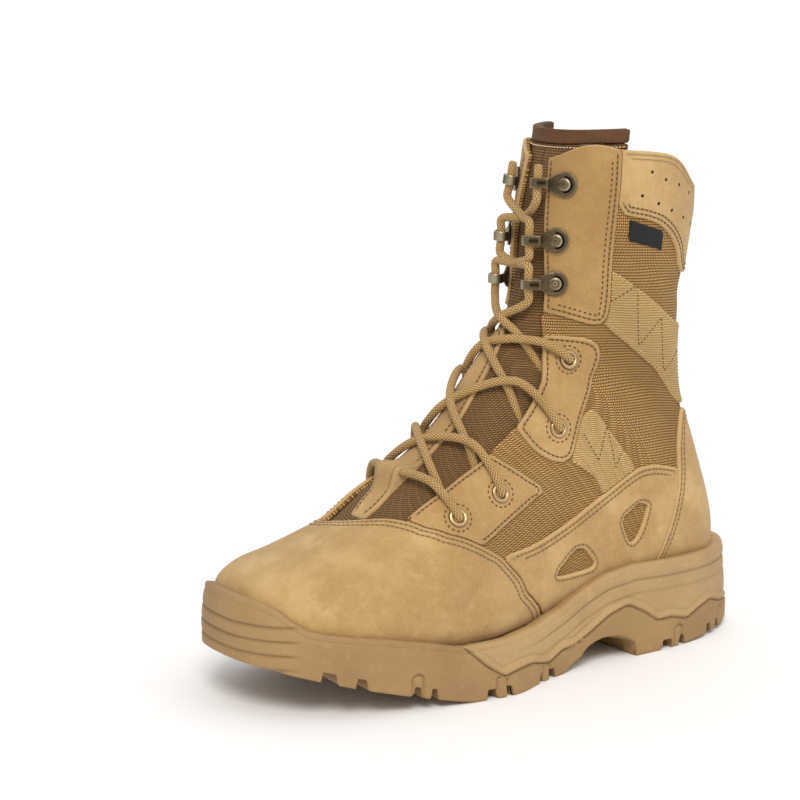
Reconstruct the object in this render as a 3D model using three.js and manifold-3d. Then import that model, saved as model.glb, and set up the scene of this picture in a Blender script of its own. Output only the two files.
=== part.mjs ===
// A left combat boot with a suede and canvas upper on a two-part cup sole.
// The frame: +X runs from the heel to the toe, +Y to the outer side of the foot and +Z up from the
// floor. Millimetres. Tables hold shares of the named sizes.
import * as THREE from "three";
import { mergeVertices } from "three/addons/utils/BufferGeometryUtils.js";
import Module from "manifold-3d";

const wasm = await Module();
wasm.setup();

// Driving sizes
const length = 302; // top edge of the sole, heel to toe
const ballWidth = 110; // top edge of the sole across the ball
const instepHeight = 165; // floor to the bend at the front of the ankle
const frontHeight = 252; // floor to the front of the shaft
const backHeight = 233; // floor to the collar at the back
const heelSeat = 30; // floor to the last under the heel
const ballSeat = 16; // floor to the last under the ball
const toeSpring = 26; // how far the tread lifts at the toe
const heelBevel = 3.5; // and at the back of the heel
const sideHeight = 47; // floor to the top of the sole beside the heel
const lugDepth = 5; // depth of the tread
const archHeight = 9.5; // floor to the underside of the waist
const leather = 1.4; // suede overlays
const canvas = 2; // canvas and lining together
const padding = 5; // tongue
const board = 4; // insole
const gap = 0.3; // between pieces that meet
const lace = 4.2; // diameter of the cord
const eyeletHole = 2.6; // radius of the hole
const eyeletFlange = 5.2; // radius of the flange
const eyeletBarrel = 0.8; // wall of the barrel
const hookSheet = 1.2; // thickness of a lace hook
const hookReach = 13; // rivet to the middle of the hook's bend
const hookWidth = 5; // width of the bent strip
const hookTip = 4; // length of the strip past its bend
const hookPlate = 7; // radius of the plate under the rivet
const rivetFoot = 4.4; // radius of the rivet at the plate
const rivetHead = 3.4; // radius of its top
const rivetRise = 1.6; // height of the rivet
const margin = 13; // how far upper and overlays turn under the foot, from the sole's outline

// Depths of the layers below the boot's outer face
const canvasFace = leather + gap;
const lining = canvasFace + canvas;
const tongueFace = lining + gap;
const tongueBack = tongueFace + padding;

// Faces of the solids
const around = 18; // points round each section of the last
const rim = 40; // points round the sole
const tube = 12; // points round an eyelet or a hook's plate
const toeRings = [0, 1, 2, 3, 4, 5, 6.3, 7.6, 9, 10.5]; // places in the last's table, sole to instep
const legRings = [12, 13, 14, 15, 16, 17, 18.5, 20, 22, 23.5, 25]; // and from there to the collar
const rings = [...toeRings, ...legRings];
const flatness = 0.03; // how far a corner may lie from a flat face before it counts

// The last, in sections from the toe to the heel and up the shaft
// x and up place a section's low point: up is a share of the back's height above the heel seat.
// crestX and crest place its high point: crest runs to 1 at the instep's height and to 2 at the
// front's. outer, inner and centre are half widths and their middle, in shares of the ball width.
// widest says how far up the section is broadest, and low and high how square it is below and above.
const columns = ["x", "up", "crestX", "crest", "outer", "inner", "centre", "widest", "low", "high"];
const sections = [
  [0.962, 0.06, 0.972, 0.28, 0.11, 0.11, -0.05, 0.5, 2, 2],
  [0.956, 0.015, 0.966, 0.335, 0.22, 0.22, -0.045, 0.42, 2.6, 2.2],
  [0.94, 0, 0.945, 0.375, 0.32, 0.32, -0.04, 0.38, 3, 2.3],
  [0.908, 0, 0.912, 0.405, 0.395, 0.38, -0.03, 0.35, 3.2, 2.3],
  [0.868, 0, 0.87, 0.425, 0.44, 0.415, -0.015, 0.34, 3.4, 2.3],
  [0.815, 0, 0.815, 0.462, 0.465, 0.435, -0.005, 0.33, 3.4, 2.2],
  [0.755, 0, 0.76, 0.51, 0.48, 0.445, 0, 0.3, 3.4, 2.1],
  [0.69, 0, 0.7, 0.6, 0.485, 0.44, 0, 0.28, 3.4, 2.05],
  [0.61, 0, 0.635, 0.69, 0.465, 0.41, 0, 0.26, 3.4, 2.05],
  [0.53, 0, 0.585, 0.77, 0.425, 0.375, 0, 0.26, 3.4, 2.05],
  [0.44, 0, 0.545, 0.865, 0.385, 0.345, 0, 0.28, 3.4, 2.1],
  [0.34, 0, 0.51, 0.945, 0.36, 0.33, 0, 0.3, 3.4, 2.1],
  [0.24, 0, 0.487, 1, 0.35, 0.33, 0, 0.33, 3.4, 2.1],
  [0.135, 0, 0.469, 1.09, 0.335, 0.33, 0, 0.36, 3.1, 2.1],
  [0.06, 0.01, 0.456, 1.18, 0.317, 0.315, 0, 0.4, 2.6, 2.1],
  [0.04, 0.08, 0.447, 1.27, 0.307, 0.305, 0, 0.43, 2.25, 2.1],
  [0.05, 0.17, 0.44, 1.38, 0.305, 0.305, 0, 0.45, 2.1, 2.1],
  [0.077, 0.285, 0.433, 1.48, 0.31, 0.31, 0, 0.47, 2.05, 2.15],
  [0.109, 0.4, 0.426, 1.6, 0.32, 0.32, 0, 0.5, 2.1, 2.2],
  [0.127, 0.5, 0.42, 1.7, 0.33, 0.33, 0, 0.5, 2.15, 2.2],
  [0.13, 0.63, 0.414, 1.79, 0.34, 0.335, 0, 0.5, 2.2, 2.2],
  [0.124, 0.76, 0.408, 1.87, 0.35, 0.345, 0, 0.5, 2.2, 2.2],
  [0.114, 0.87, 0.403, 1.94, 0.355, 0.35, 0, 0.5, 2.2, 2.2],
  [0.108, 0.96, 0.398, 2.02, 0.36, 0.355, 0, 0.5, 2.2, 2.2],
  [0.108, 1.07, 0.391, 2.13, 0.365, 0.36, 0, 0.5, 2.2, 2.2],
  [0.108, 1.18, 0.385, 2.26, 0.37, 0.365, 0, 0.5, 2.2, 2.2],
];
const top = sections.length - 1;

// The vamp's seam: a turn of 0.5 is the crest and 0 the sole, row is a place in the last's table
const vampSeam = [
  [0, 9.7],
  [0.15, 9.65],
  [0.23, 9.4],
  [0.28, 8.9],
  [0.33, 7.7],
  [0.38, 6.85],
  [0.44, 6.4],
  [0.5, 5.64],
];

// The throat: half widths beside the crest at a place in the last's table, shares of the ball width
const throat = [
  [5.2, 0.2, 0.2],
  [6.4, 0.26, 0.25],
  [7.7, 0.275, 0.265],
  [10.3, 0.27, 0.26],
  [12, 0.235, 0.23],
  [12.7, 0.2, 0.2],
  [14, 0.155, 0.16],
  [18.5, 0.11, 0.125],
  [22.3, 0.075, 0.1],
  [25, 0.07, 0.1],
];

// The top edge of the sole, clockwise from the heel by the outer side: shares of length and ball width
const soleOutline = [
  [0.014, 0],
  [0.028, 0.125],
  [0.064, 0.22],
  [0.125, 0.305],
  [0.2, 0.35],
  [0.29, 0.37],
  [0.37, 0.378],
  [0.45, 0.405],
  [0.53, 0.462],
  [0.61, 0.515],
  [0.68, 0.528],
  [0.75, 0.515],
  [0.81, 0.488],
  [0.87, 0.44],
  [0.925, 0.355],
  [0.965, 0.245],
  [0.988, 0.1],
  [0.991, -0.05],
  [0.983, -0.19],
  [0.96, -0.305],
  [0.92, -0.395],
  [0.86, -0.455],
  [0.79, -0.478],
  [0.72, -0.483],
  [0.65, -0.47],
  [0.57, -0.43],
  [0.48, -0.39],
  [0.38, -0.365],
  [0.28, -0.358],
  [0.2, -0.35],
  [0.125, -0.305],
  [0.064, -0.22],
  [0.028, -0.125],
];

// Heights of the sole's top edge along the length, shares of its height beside the heel
const soleTop = [
  [0, 0.97],
  [0.1, 0.96],
  [0.22, 0.98],
  [0.29, 1],
  [0.35, 0.95],
  [0.4, 0.84],
  [0.45, 0.7],
  [0.51, 0.6],
  [0.58, 0.56],
  [0.68, 0.58],
  [0.74, 0.68],
  [0.81, 0.77],
  [0.9, 0.86],
  [0.925, 0.9],
  [0.943, 0.98],
  [0.958, 1.08],
  [0.975, 1.15],
  [1, 1.19],
];

// The parting line between outsole and midsole: shares of length and of the sole's side height
const parting = [
  [-0.05, 0.26],
  [0.03, 0.27],
  [0.075, 0.32],
  [0.11, 0.4],
  [0.14, 0.36],
  [0.175, 0.27],
  [0.215, 0.34],
  [0.245, 0.33],
  [0.275, 0.46],
  [0.31, 0.57],
  [0.35, 0.5],
  [0.39, 0.37],
  [0.43, 0.26],
  [0.46, 0.25],
  [0.495, 0.16],
  [0.54, 0.23],
  [0.575, 0.23],
  [0.61, 0.2],
  [0.64, 0.33],
  [0.69, 0.62],
  [0.72, 0.8],
];

// Side wall of the sole: share of its height and how far it stands out from the top edge
const sideFlare = [
  [0, 1.4],
  [0.14, 2.6],
  [0.5, 2.8],
  [0.8, 1.8],
  [1, 0.4],
];
const splay = { at: 0.585, half: 0.055, extra: 1.8 }; // the outer side leans out more at the ball
const outsoleStep = 1; // the outsole stands out past the midsole
const rimInset = 9; // how far the top edge runs inward before the cup
const grooveDepth = 0.9; // groove above the parting line
const grooveFrom = 0.08; // its height over the line and its width, shares of the sole's side height
const grooveWidth = 0.035;
const ribFrom = 0.945; // where the toe's grooves start, a share of the length
const ribHalf = 0.02; // half their width, a share of the sole's side height

const lerp = THREE.MathUtils.lerp;
const smooth = (x, from, to) => THREE.MathUtils.smoothstep(x, from, to);

// A value from a table of rows that start with a place, straight between the rows
function between(table, place, column = 1) {
  const next = table.findIndex((row) => row[0] > place);
  if (next === 0) return table[0][column];
  if (next < 0) return table[table.length - 1][column];
  const [a, b] = [table[next - 1], table[next]];
  return lerp(a[column], b[column], (place - a[0]) / (b[0] - a[0]));
}

// Underside of the tread and of the last: the tread lifts past two places, shares of the length
const toeFrom = 0.66;
const heelFrom = 0.21;
const toeLift = (x) => toeSpring * Math.max(0, (x / length - toeFrom) / (1 - toeFrom)) ** 1.1;
const heelLift = (x) => heelBevel * Math.max(0, 1 - x / length / heelFrom);
const tread = (x) => toeLift(x) + heelLift(x);
const seat = (x) => lerp(heelSeat, ballSeat, smooth(x / length, 0.24, 0.6)) + 0.62 * toeLift(x);

// The last's table at a place between its rows, by a Catmull-Rom spline
function sectionAt(row) {
  const i = Math.min(top - 1, Math.floor(row));
  const t = row - i;
  const at = (n) => sections[Math.min(top, Math.max(0, n))];
  const value = (k) => {
    const [a, b, c, d] = [at(i - 1)[k], at(i)[k], at(i + 1)[k], at(i + 2)[k]];
    return b + 0.5 * t * (c - a + t * (2 * a - 5 * b + 4 * c - d + t * (3 * (b - c) + d - a)));
  };
  return Object.fromEntries(columns.map((name, k) => [name, value(k)]));
}

// A point of the boot's outer face: turn runs from 0 at the sole or back by the outer side to 0.5
function facePoint(row, turn) {
  const c = sectionAt(row);
  const x = c.x * length;
  const centre = c.centre * ballWidth;
  const lowest = new THREE.Vector3(x, centre, seat(x) + c.up * (backHeight - heelSeat));
  const foot = Math.min(c.crest, 1) * instepHeight;
  const leg = Math.max(c.crest - 1, 0) * (frontHeight - instepHeight);
  const highest = new THREE.Vector3(c.crestX * length, centre, foot + leg);
  const rise = -Math.cos(2 * Math.PI * turn);
  const out = Math.sin(2 * Math.PI * turn);
  const power = 2 / (rise < 0 ? c.low : c.high);
  const above = c.widest + (1 - c.widest) * Math.abs(rise) ** power;
  const below = c.widest * (1 - Math.abs(rise) ** power);
  const point = lowest.lerp(highest, rise < 0 ? below : above);
  point.y += Math.sign(out) * Math.abs(out) ** power * (out > 0 ? c.outer : c.inner) * ballWidth;
  return point;
}

// The outward direction there
function faceNormal(row, turn) {
  const [a, b] = [Math.max(0, row - 0.05), Math.min(top, row + 0.05)];
  const along = facePoint(b, turn).sub(facePoint(a, turn));
  const across = facePoint(row, turn + 0.01).sub(facePoint(row, turn - 0.01));
  return along.cross(across).normalize();
}

function facePlace(row, turn, depth) {
  return facePoint(row, turn).addScaledVector(faceNormal(row, turn), -depth);
}

// Solids from three.js geometry, and back
function solid(geometry) {
  geometry.deleteAttribute("normal");
  geometry.deleteAttribute("uv");
  const merged = mergeVertices(geometry, 1e-4);
  const vertProperties = new Float32Array(merged.attributes.position.array);
  const triVerts = new Uint32Array(merged.index.array);
  return new wasm.Manifold(new wasm.Mesh({ numProp: 3, vertProperties, triVerts }));
}

const union = (pieces) => pieces.reduce((all, piece) => all.add(piece));

const boot = new THREE.Group();

function add(name, piece, material) {
  const mesh = piece.simplify(flatness).getMesh();
  const geometry = new THREE.BufferGeometry();
  geometry.setAttribute("position", new THREE.BufferAttribute(mesh.vertProperties, 3));
  geometry.setIndex(new THREE.BufferAttribute(mesh.triVerts, 1));
  const object = new THREE.Mesh(geometry, material);
  object.name = name;
  boot.add(object);
}

// A closed body bent from a cylinder: place gives the point for a share along it, a turn and
// a share of its radius
function bend(segments, steps, place) {
  const geometry = new THREE.CylinderGeometry(1, 1, 1, segments, steps);
  const position = geometry.attributes.position;
  for (let i = 0; i < position.count; i += 1) {
    const [x, y, z] = [position.getX(i), position.getY(i), position.getZ(i)];
    const point = place(y + 0.5, Math.atan2(-x, z) / (2 * Math.PI), Math.hypot(x, z));
    position.setXYZ(i, point.x, point.y, point.z);
  }
  return solid(geometry);
}

// The body inside the boot's outer face, so far below it, up to a row that may vary with the turn
function skin(depth, lastRow = () => top) {
  return bend(around, rings.length - 1, (place, turn, radius) => {
    const share = rings[Math.round(place * (rings.length - 1))] / top;
    if (radius > 0.5) return facePlace(share * lastRow(Math.abs(turn)), turn, depth);
    const row = share * (lastRow(0) + lastRow(0.5)) / 2;
    return facePlace(row, 0, depth).lerp(facePlace(row, 0.5, depth), 0.5);
  });
}

// A prism across the boot from a side view outline of shares of length and front height
const sideShape = (points) => points.map(([x, z]) => new THREE.Vector2(x * length, z * frontHeight));

function prism(outline, from = -ballWidth, to = ballWidth) {
  const geometry = new THREE.ExtrudeGeometry(new THREE.Shape(outline), {
    depth: to - from,
    bevelEnabled: false,
  });
  geometry.rotateX(Math.PI / 2);
  geometry.translate(0, to, 0);
  return solid(geometry);
}

// A prism standing on the floor plan
function column(outline, from, to) {
  const shape = Array.isArray(outline) ? new THREE.Shape(outline) : outline;
  const geometry = new THREE.ExtrudeGeometry(shape, {
    depth: to - from,
    bevelEnabled: false,
    curveSegments: 6,
  });
  geometry.translate(0, 0, from);
  return solid(geometry);
}

// An outline moved outward by a distance
function grown(outline, distance) {
  const turnsLeft = THREE.ShapeUtils.area(outline) > 0 ? 1 : -1;
  const edge = (a, b) => new THREE.Vector2(b.y - a.y, a.x - b.x).normalize().multiplyScalar(turnsLeft);
  return outline.map((point, i) => {
    const before = edge(outline.at(i - 1), point);
    const after = edge(point, outline[(i + 1) % outline.length]);
    const middle = before.clone().add(after).normalize();
    return point.clone().addScaledVector(middle, distance / Math.max(0.5, middle.dot(before)));
  });
}

// The throat's opening as a body through the front of the boot, wider by so much on each side
function slot(wider, firstRow, lastRow, depthIn, depthOut) {
  const geometry = new THREE.BoxGeometry(1, 1, 1, 1, 12, 1);
  const position = geometry.attributes.position;
  for (let i = 0; i < position.count; i += 1) {
    const row = lerp(firstRow, lastRow, position.getY(i) + 0.5);
    const c = sectionAt(row);
    const crest = facePoint(row, 0.5);
    const inward = facePoint(row, 0).sub(crest).normalize();
    const side = position.getX(i) > 0 ? 1 : 2;
    const half = between(throat, row, side) * ballWidth + wider;
    const depth = position.getZ(i) > 0 ? -depthOut : depthIn;
    const point = crest.addScaledVector(inward, depth);
    point.y = c.centre * ballWidth + (side === 1 ? half : -half);
    position.setXYZ(i, point.x, point.y, point.z);
  }
  return solid(geometry);
}

// Materials
const paint = (color, roughness, metalness = 0) =>
  new THREE.MeshStandardMaterial({ color, roughness, metalness });
const rubber = () => paint("#a57b50", 0.6);
const suede = () => paint("#c49a62", 0.95);
const weave = () => paint("#8f6a36", 0.9);
const webbing = () => paint("#b08a55", 0.9);
const metal = () => paint("#7d7460", 0.35, 0.9);
const cordage = () => paint("#8a6a3c", 0.85);

// Sole
const rimCurve = new THREE.CatmullRomCurve3(
  soleOutline.map(([x, y]) => new THREE.Vector3(x * length, y * ballWidth, 0)),
  true,
);
const soleRise = (x, share) => {
  const bottom = tread(x) - lugDepth;
  return lerp(bottom, between(soleTop, x / length) * sideHeight, share);
};

// A body of the sole's side wall, pushed outward by so much
function soleBody(extra) {
  const levels = [...sideFlare, [1, -rimInset]];
  const middle = new THREE.Vector3(length / 2, 0, 0);
  return bend(rim, levels.length - 1, (share, turn, radius) => {
    const [rise, flare] = levels[Math.round(share * (levels.length - 1))];
    if (radius < 0.5) return middle.clone().setZ(soleRise(middle.x, rise));
    const u = (turn + 1) % 1;
    const point = rimCurve.getPoint(u);
    const ahead = rimCurve.getTangent(u);
    const outward = new THREE.Vector3(-ahead.y, ahead.x, 0).normalize();
    const beside = (point.x / length - splay.at) / splay.half;
    const lean = point.y > 0 ? 1 + splay.extra * (1 - rise) * Math.exp(-beside * beside) : 1;
    point.addScaledVector(outward, flare * lean + (rise < 1 ? extra : 0));
    return point.setZ(soleRise(THREE.MathUtils.clamp(point.x, 0, length), rise));
  });
}

// Side view of the sole: the tread's line raised by so much, with the heel's breast and the arch
const breast = 0.293;
const waistEnd = 0.46;
function groundLine(raise) {
  const arch = [
    [breast, 0],
    [breast + 0.003, 0.84],
    [breast + 0.03, 1],
    [waistEnd - 0.09, 1],
    [waistEnd - 0.055, 0.8],
    [waistEnd - 0.026, 0.42],
    [waistEnd, 0],
  ];
  const point = (x, z) => new THREE.Vector2(x * length, z + raise);
  const points = [0, 0.04, heelFrom].map((x) => point(x, tread(x * length)));
  points.unshift(point(-0.1, tread(0)));
  for (const [x, z] of arch) points.push(point(x, Math.max(0, z * archHeight - raise)));
  for (let x = toeFrom; x < 1.12; x += 0.07) points.push(point(x, tread(x * length)));
  return points;
}
const aboveGround = (raise) => [
  ...groundLine(raise),
  new THREE.Vector2(1.1 * length, frontHeight),
  new THREE.Vector2(-0.1 * length, frontHeight),
];
const belowGround = (raise) => [
  ...groundLine(raise),
  new THREE.Vector2(1.1 * length, -frontHeight),
  new THREE.Vector2(-0.1 * length, -frontHeight),
];

// Everything above the parting line, raised by so much
function abovePart(raise) {
  const line = parting.map(([x, z]) => new THREE.Vector2(x * length, z * sideHeight + raise));
  line.push(new THREE.Vector2(parting.at(-1)[0] * length, frontHeight));
  line.push(new THREE.Vector2(parting[0][0] * length, frontHeight));
  return prism(line);
}

// The cup that holds the upper
const cup = skin(-gap);

// Lugs at the edge: place along the length, width, inner end, and how far the outer end leans
// toward the toe, with the reach as a share of the ball width
const outerLugs = [
  [0.868, 0.03, 0.25, 0.03],
  [0.798, 0.078, 0.19, 0.03],
  [0.745, 0.018, 0.3, 0.02],
  [0.68, 0.09, 0.26, 0.02],
  [0.616, 0.018, 0.3, 0],
  [0.56, 0.075, 0.28, 0],
  [0.504, 0.018, 0.27, 0],
  [0.452, 0.066, 0.16, -0.01],
  [0.262, 0.056, 0.15, 0],
  [0.205, 0.018, 0.22, -0.01],
  [0.155, 0.062, 0.18, -0.02],
  [0.103, 0.018, 0.19, -0.03],
  [0.066, 0.038, 0.13, -0.05],
];
const innerLugs = [
  [0.865, 0.03, 0.24, 0.03],
  [0.795, 0.078, 0.2, 0.03],
  [0.715, 0.07, 0.22, 0.01],
  [0.658, 0.018, 0.25, 0.01],
  [0.6, 0.08, 0.19, 0],
  [0.54, 0.018, 0.2, 0],
  [0.475, 0.08, 0.09, -0.01],
  [0.262, 0.056, 0.15, 0],
  [0.205, 0.018, 0.2, -0.01],
  [0.155, 0.062, 0.18, -0.02],
  [0.103, 0.018, 0.19, -0.03],
  [0.066, 0.038, 0.13, -0.05],
];
// Blocks in the middle: place along the length and across, size and turn in parts of a circle
const blocks = [
  [0.757, 0.12, 0.034, 0.1],
  [0.765, -0.12, 0.032, 0.55],
  [0.69, 0.07, 0.034, 0.3],
  [0.685, -0.13, 0.033, 0.8],
  [0.612, 0.12, 0.033, 0.15],
  [0.615, -0.05, 0.034, 0.6],
  [0.53, 0.13, 0.031, 0.4],
  [0.535, -0.05, 0.034, 0.9],
  [0.465, 0.03, 0.031, 0.2],
  [0.235, 0, 0.034, 0.1],
  [0.185, 0.09, 0.028, 0.5],
  [0.19, -0.08, 0.03, 0.8],
  [0.135, 0, 0.032, 0.3],
];
// Ridges curving round the toe and the heel: the centre's place, radii, half angle, and the radius
// and half angle of the solid edge past them
const toeRadii = [0.062, 0.09, 0.118, 0.146];
const heelRadii = [0.05, 0.078];
const toeRidges = { x: 0.79, y: -0.03, radii: toeRadii, half: 0.62, facing: 0, edge: 0.174, reach: 0.92 };
const heelRidges = {
  x: 0.125,
  y: 0,
  radii: heelRadii,
  half: 0.7,
  facing: Math.PI,
  edge: 0.102,
  reach: 0.7,
};
const ridgeWidth = 0.013;
const pastEdge = 0.4; // a radius outside the sole

function edgeLug([x, width, inner, lean], side) {
  const reach = side * ballWidth;
  return [
    [x - width / 2, inner],
    [x + width / 2, inner],
    [x + width / 2 + lean, 1],
    [x - width / 2 + lean, 1],
  ].map(([a, b]) => new THREE.Vector2(a * length, b * reach));
}

function block([x, y, size, turn]) {
  const corners = [0.92, 0.72, 1, 0.76, 0.95];
  const centre = new THREE.Vector2(x * length, y * ballWidth);
  return corners.map((reach, i) => {
    const corner = new THREE.Vector2(reach * size * length, 0);
    return corner.rotateAround(new THREE.Vector2(), 2 * Math.PI * (turn + i / corners.length)).add(centre);
  });
}

function ridges({ x, y, radii, half, facing, edge, reach }) {
  const rows = radii.map((radius) => [radius, radius + ridgeWidth, half]);
  rows.push([edge, pastEdge, reach]);
  return rows.map(([from, to, angle]) => {
    const shape = new THREE.Shape();
    shape.absarc(x * length, y * ballWidth, to * length, facing - angle, facing + angle, false);
    shape.absarc(x * length, y * ballWidth, from * length, facing + angle, facing - angle, true);
    return shape;
  });
}

const outlines = [
  ...outerLugs.map((lug) => edgeLug(lug, 1)),
  ...innerLugs.map((lug) => edgeLug(lug, -1)),
  ...blocks.map(block),
  ...ridges(toeRidges),
  ...ridges(heelRidges),
];
const lugs = union(outlines.map((outline) => column(outline, -lugDepth, sideHeight)));

// The bare waist between heel and ball, as wide as the sole
const [waistFrom, waistTo] = [breast - 0.006, waistEnd - 0.03];
const waistCorners = [[waistFrom, -1], [waistTo, -1], [waistTo, 1], [waistFrom, 1]];
const waistOutline = waistCorners.map(([x, y]) => new THREE.Vector2(x * length, y * ballWidth));
const waist = column(waistOutline, -lugDepth, sideHeight);
const grooves = prism(belowGround(lugDepth)).subtract(lugs).subtract(waist);

// Hollows in both sides of the waist: shares of the length, the ball width and the arch's height
const scoop = { x: 0.355, y: 0.46, z: 0.25, long: 0.068, wide: 0.2, high: 1.25 };
const scoops = [1, -1].map((side) => {
  const geometry = new THREE.SphereGeometry(1, 20, 12);
  geometry.scale(scoop.long * length, scoop.wide * ballWidth, scoop.high * archHeight);
  geometry.translate(scoop.x * length, side * scoop.y * ballWidth, scoop.z * archHeight);
  return solid(geometry);
});

// A groove round the side wall, cut so deep where it meets a form
const groove = (outer, depth, form) => outer.subtract(soleBody(-depth)).intersect(form);

// A prism across the boot over a rectangle of its side view, in millimetres
function slab(fromX, toX, fromZ, toZ) {
  const corners = [[fromX, fromZ], [toX, fromZ], [toX, toZ], [fromX, toZ]];
  return prism(corners.map(([x, z]) => new THREE.Vector2(x, z)));
}

const toeRibs = [0.5, 0.64, 0.78, 0.92].map((height) => {
  const [low, high] = [height - ribHalf, height + ribHalf];
  return slab(ribFrom * length, 1.1 * length, low * sideHeight, high * sideHeight);
});

const outerSole = soleBody(outsoleStep);
const ribbed = groove(soleBody(outsoleStep + 2), 0.2, union(toeRibs));
const bumper = outerSole.intersect(slab(0.7 * length, 1.2 * length, -frontHeight, frontHeight));
const outsole = outerSole
  .subtract(abovePart(0))
  .add(bumper)
  .intersect(prism(aboveGround(0)))
  .subtract(grooves)
  .subtract(union(scoops))
  .subtract(cup)
  .subtract(ribbed);
add("outsole", outsole, rubber());

const band = (raise, thick) => abovePart(raise).subtract(abovePart(raise + thick));
const grooveBand = band(grooveFrom * sideHeight, grooveWidth * sideHeight);
const midsole = soleBody(0)
  .intersect(abovePart(gap))
  .subtract(groove(soleBody(2), grooveDepth, grooveBand))
  .subtract(cup);
add("midsole", midsole, rubber());

// The opening under the foot, narrower by so much
function footOpening(narrower, from, to) {
  const count = rim / 2;
  const points = Array.from({ length: count }, (_, i) => {
    const u = i / count;
    const ahead = rimCurve.getTangent(u);
    const inward = new THREE.Vector2(ahead.y, -ahead.x).normalize();
    const point = rimCurve.getPoint(u);
    return new THREE.Vector2(point.x, point.y).addScaledVector(inward, margin + narrower);
  });
  return column(points, from, to);
}

// A shell open underneath, between two depths below the outer face
const soleHole = footOpening(0, 0, heelSeat + 2 * lining);
const shell = (from, to) => skin(from).subtract(skin(to)).subtract(soleHole);

// Side view outlines, clockwise or not, in shares of length and front height
const collarLine = [
  [0.5, 0.93],
  [0.405, 0.985],
  [0.375, 1.018],
  [0.35, 1.022],
  [0.32, 1.01],
  [0.27, 1.006],
  [0.22, 0.998],
  [0.19, 0.975],
  [0.165, 0.945],
  [0.135, 0.925],
  [0.05, 0.92],
  [0.05, 1.3],
  [0.5, 1.3],
];
const outlineOf = {
  eyestayTop: [
    [0.5, 1.2],
    [0.5, 0.69],
    [0.424, 0.697],
    [0.387, 0.682],
    [0.353, 0.668],
    [0.336, 0.672],
    [0.328, 0.692],
    [0.331, 0.79],
    [0.327, 0.87],
    [0.32, 0.96],
    [0.315, 1.2],
  ],
  eyestayMiddle: [
    [0.5, 0.655],
    [0.42, 0.652],
    [0.36, 0.642],
    [0.342, 0.626],
    [0.338, 0.605],
    [0.347, 0.565],
    [0.384, 0.495],
    [0.397, 0.462],
    [0.413, 0.42],
    [0.432, 0.411],
    [0.455, 0.418],
    [0.485, 0.441],
    [0.51, 0.487],
    [0.6, 0.5],
  ],
  eyestayLower: [
    [0.6, 0.46],
    [0.57, 0.445],
    [0.555, 0.436],
    [0.478, 0.37],
    [0.478, 0.36],
    [0.6, 0.288],
    [0.66, 0.262],
    [0.8, 0.3],
    [0.8, 0.46],
  ],
  cuff: [
    [0.34, 0.89],
    [0.255, 0.87],
    [0.218, 0.842],
    [0.192, 0.806],
    [0.18, 0.77],
    [0.16, 0.75],
    [-0.1, 0.74],
    [-0.1, 1.3],
    [0.34, 1.3],
  ],
  webbingUpper: [
    [0.35, 0.787],
    [0.32, 0.77],
    [0.245, 0.71],
    [0.19, 0.663],
    [0.05, 0.61],
    [0.05, 0.485],
    [0.165, 0.485],
    [0.205, 0.53],
    [0.23, 0.567],
    [0.262, 0.595],
    [0.275, 0.607],
    [0.35, 0.68],
  ],
  webbingLower: [
    [0.365, 0.52],
    [0.325, 0.452],
    [0.265, 0.36],
    [0.34, 0.32],
    [0.352, 0.335],
    [0.365, 0.37],
    [0.39, 0.39],
    [0.43, 0.425],
  ],
  counter: [
    [-0.1, 0.44],
    [0.1, 0.455],
    [0.135, 0.475],
    [0.163, 0.48],
    [0.178, 0.42],
    [0.177, 0.335],
    [0.193, 0.268],
    [0.217, 0.205],
    [0.232, 0.155],
    [0.24, 0.05],
    [-0.1, 0.05],
  ],
  quarter: [
    [0.7, 0.25],
    [0.573, 0.254],
    [0.497, 0.262],
    [0.42, 0.294],
    [0.348, 0.337],
    [0.275, 0.377],
    [0.228, 0.377],
    [0.181, 0.362],
    [0.1, 0.35],
    [0.1, 0.02],
    [0.7, 0.02],
  ],
  windowFront: [
    [0.457, 0.195],
    [0.402, 0.246],
    [0.368, 0.2],
    [0.375, 0.19],
    [0.448, 0.188],
  ],
  windowRear: [
    [0.247, 0.318],
    [0.27, 0.246],
    [0.291, 0.222],
    [0.312, 0.274],
    [0.305, 0.285],
  ],
  label: [
    [0.302, 0.873],
    [0.232, 0.847],
    [0.235, 0.81],
    [0.304, 0.833],
  ],
};
const outline = {};
for (const [name, points] of Object.entries(outlineOf)) outline[name] = sideShape(points);

const sides = [
  ["outer", 1],
  ["inner", -1],
];
const half = (piece, side) => {
  const [from, to] = side > 0 ? [gap / 2, ballWidth] : [-ballWidth, -gap / 2];
  const frame = [[-0.2, -1], [1.3, -1], [1.3, 2], [-0.2, 2]];
  return piece.intersect(prism(sideShape(frame), from, to));
};
const clear = (name) => prism(grown(outline[name], gap));

// Upper: one shell, open at the collar, the throat and underneath
const collarCut = prism(sideShape(collarLine));
const throatCut = slot(0, throat[0][0], top, 2 * tongueBack, 3 * tongueBack);

// Eyelets and lace hooks: places in the last's table and turns on the outer side
const eyeletPlaces = [
  [7.7, 0.36],
  [9.1, 0.345],
  [11.5, 0.34],
  [13.6, 0.375],
];
const hookPlaces = [
  [16.2, 0.41],
  [18, 0.415],
  [21, 0.42],
];

// A frame on the outer face: level toward the throat, along the throat's edge and out of the face
function seatFrame([row, turn], side, depth) {
  const at = side > 0 ? turn : 1 - turn;
  const out = faceNormal(row, at);
  const inward = out.clone().cross(new THREE.Vector3(0, 0, side)).normalize();
  const along = out.clone().cross(inward);
  const matrix = new THREE.Matrix4().makeBasis(inward, along, out);
  return matrix.setPosition(facePlace(row, at, depth));
}

function placed(geometry, matrix) {
  const copy = geometry.clone();
  copy.applyMatrix4(matrix);
  return solid(copy);
}

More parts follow.
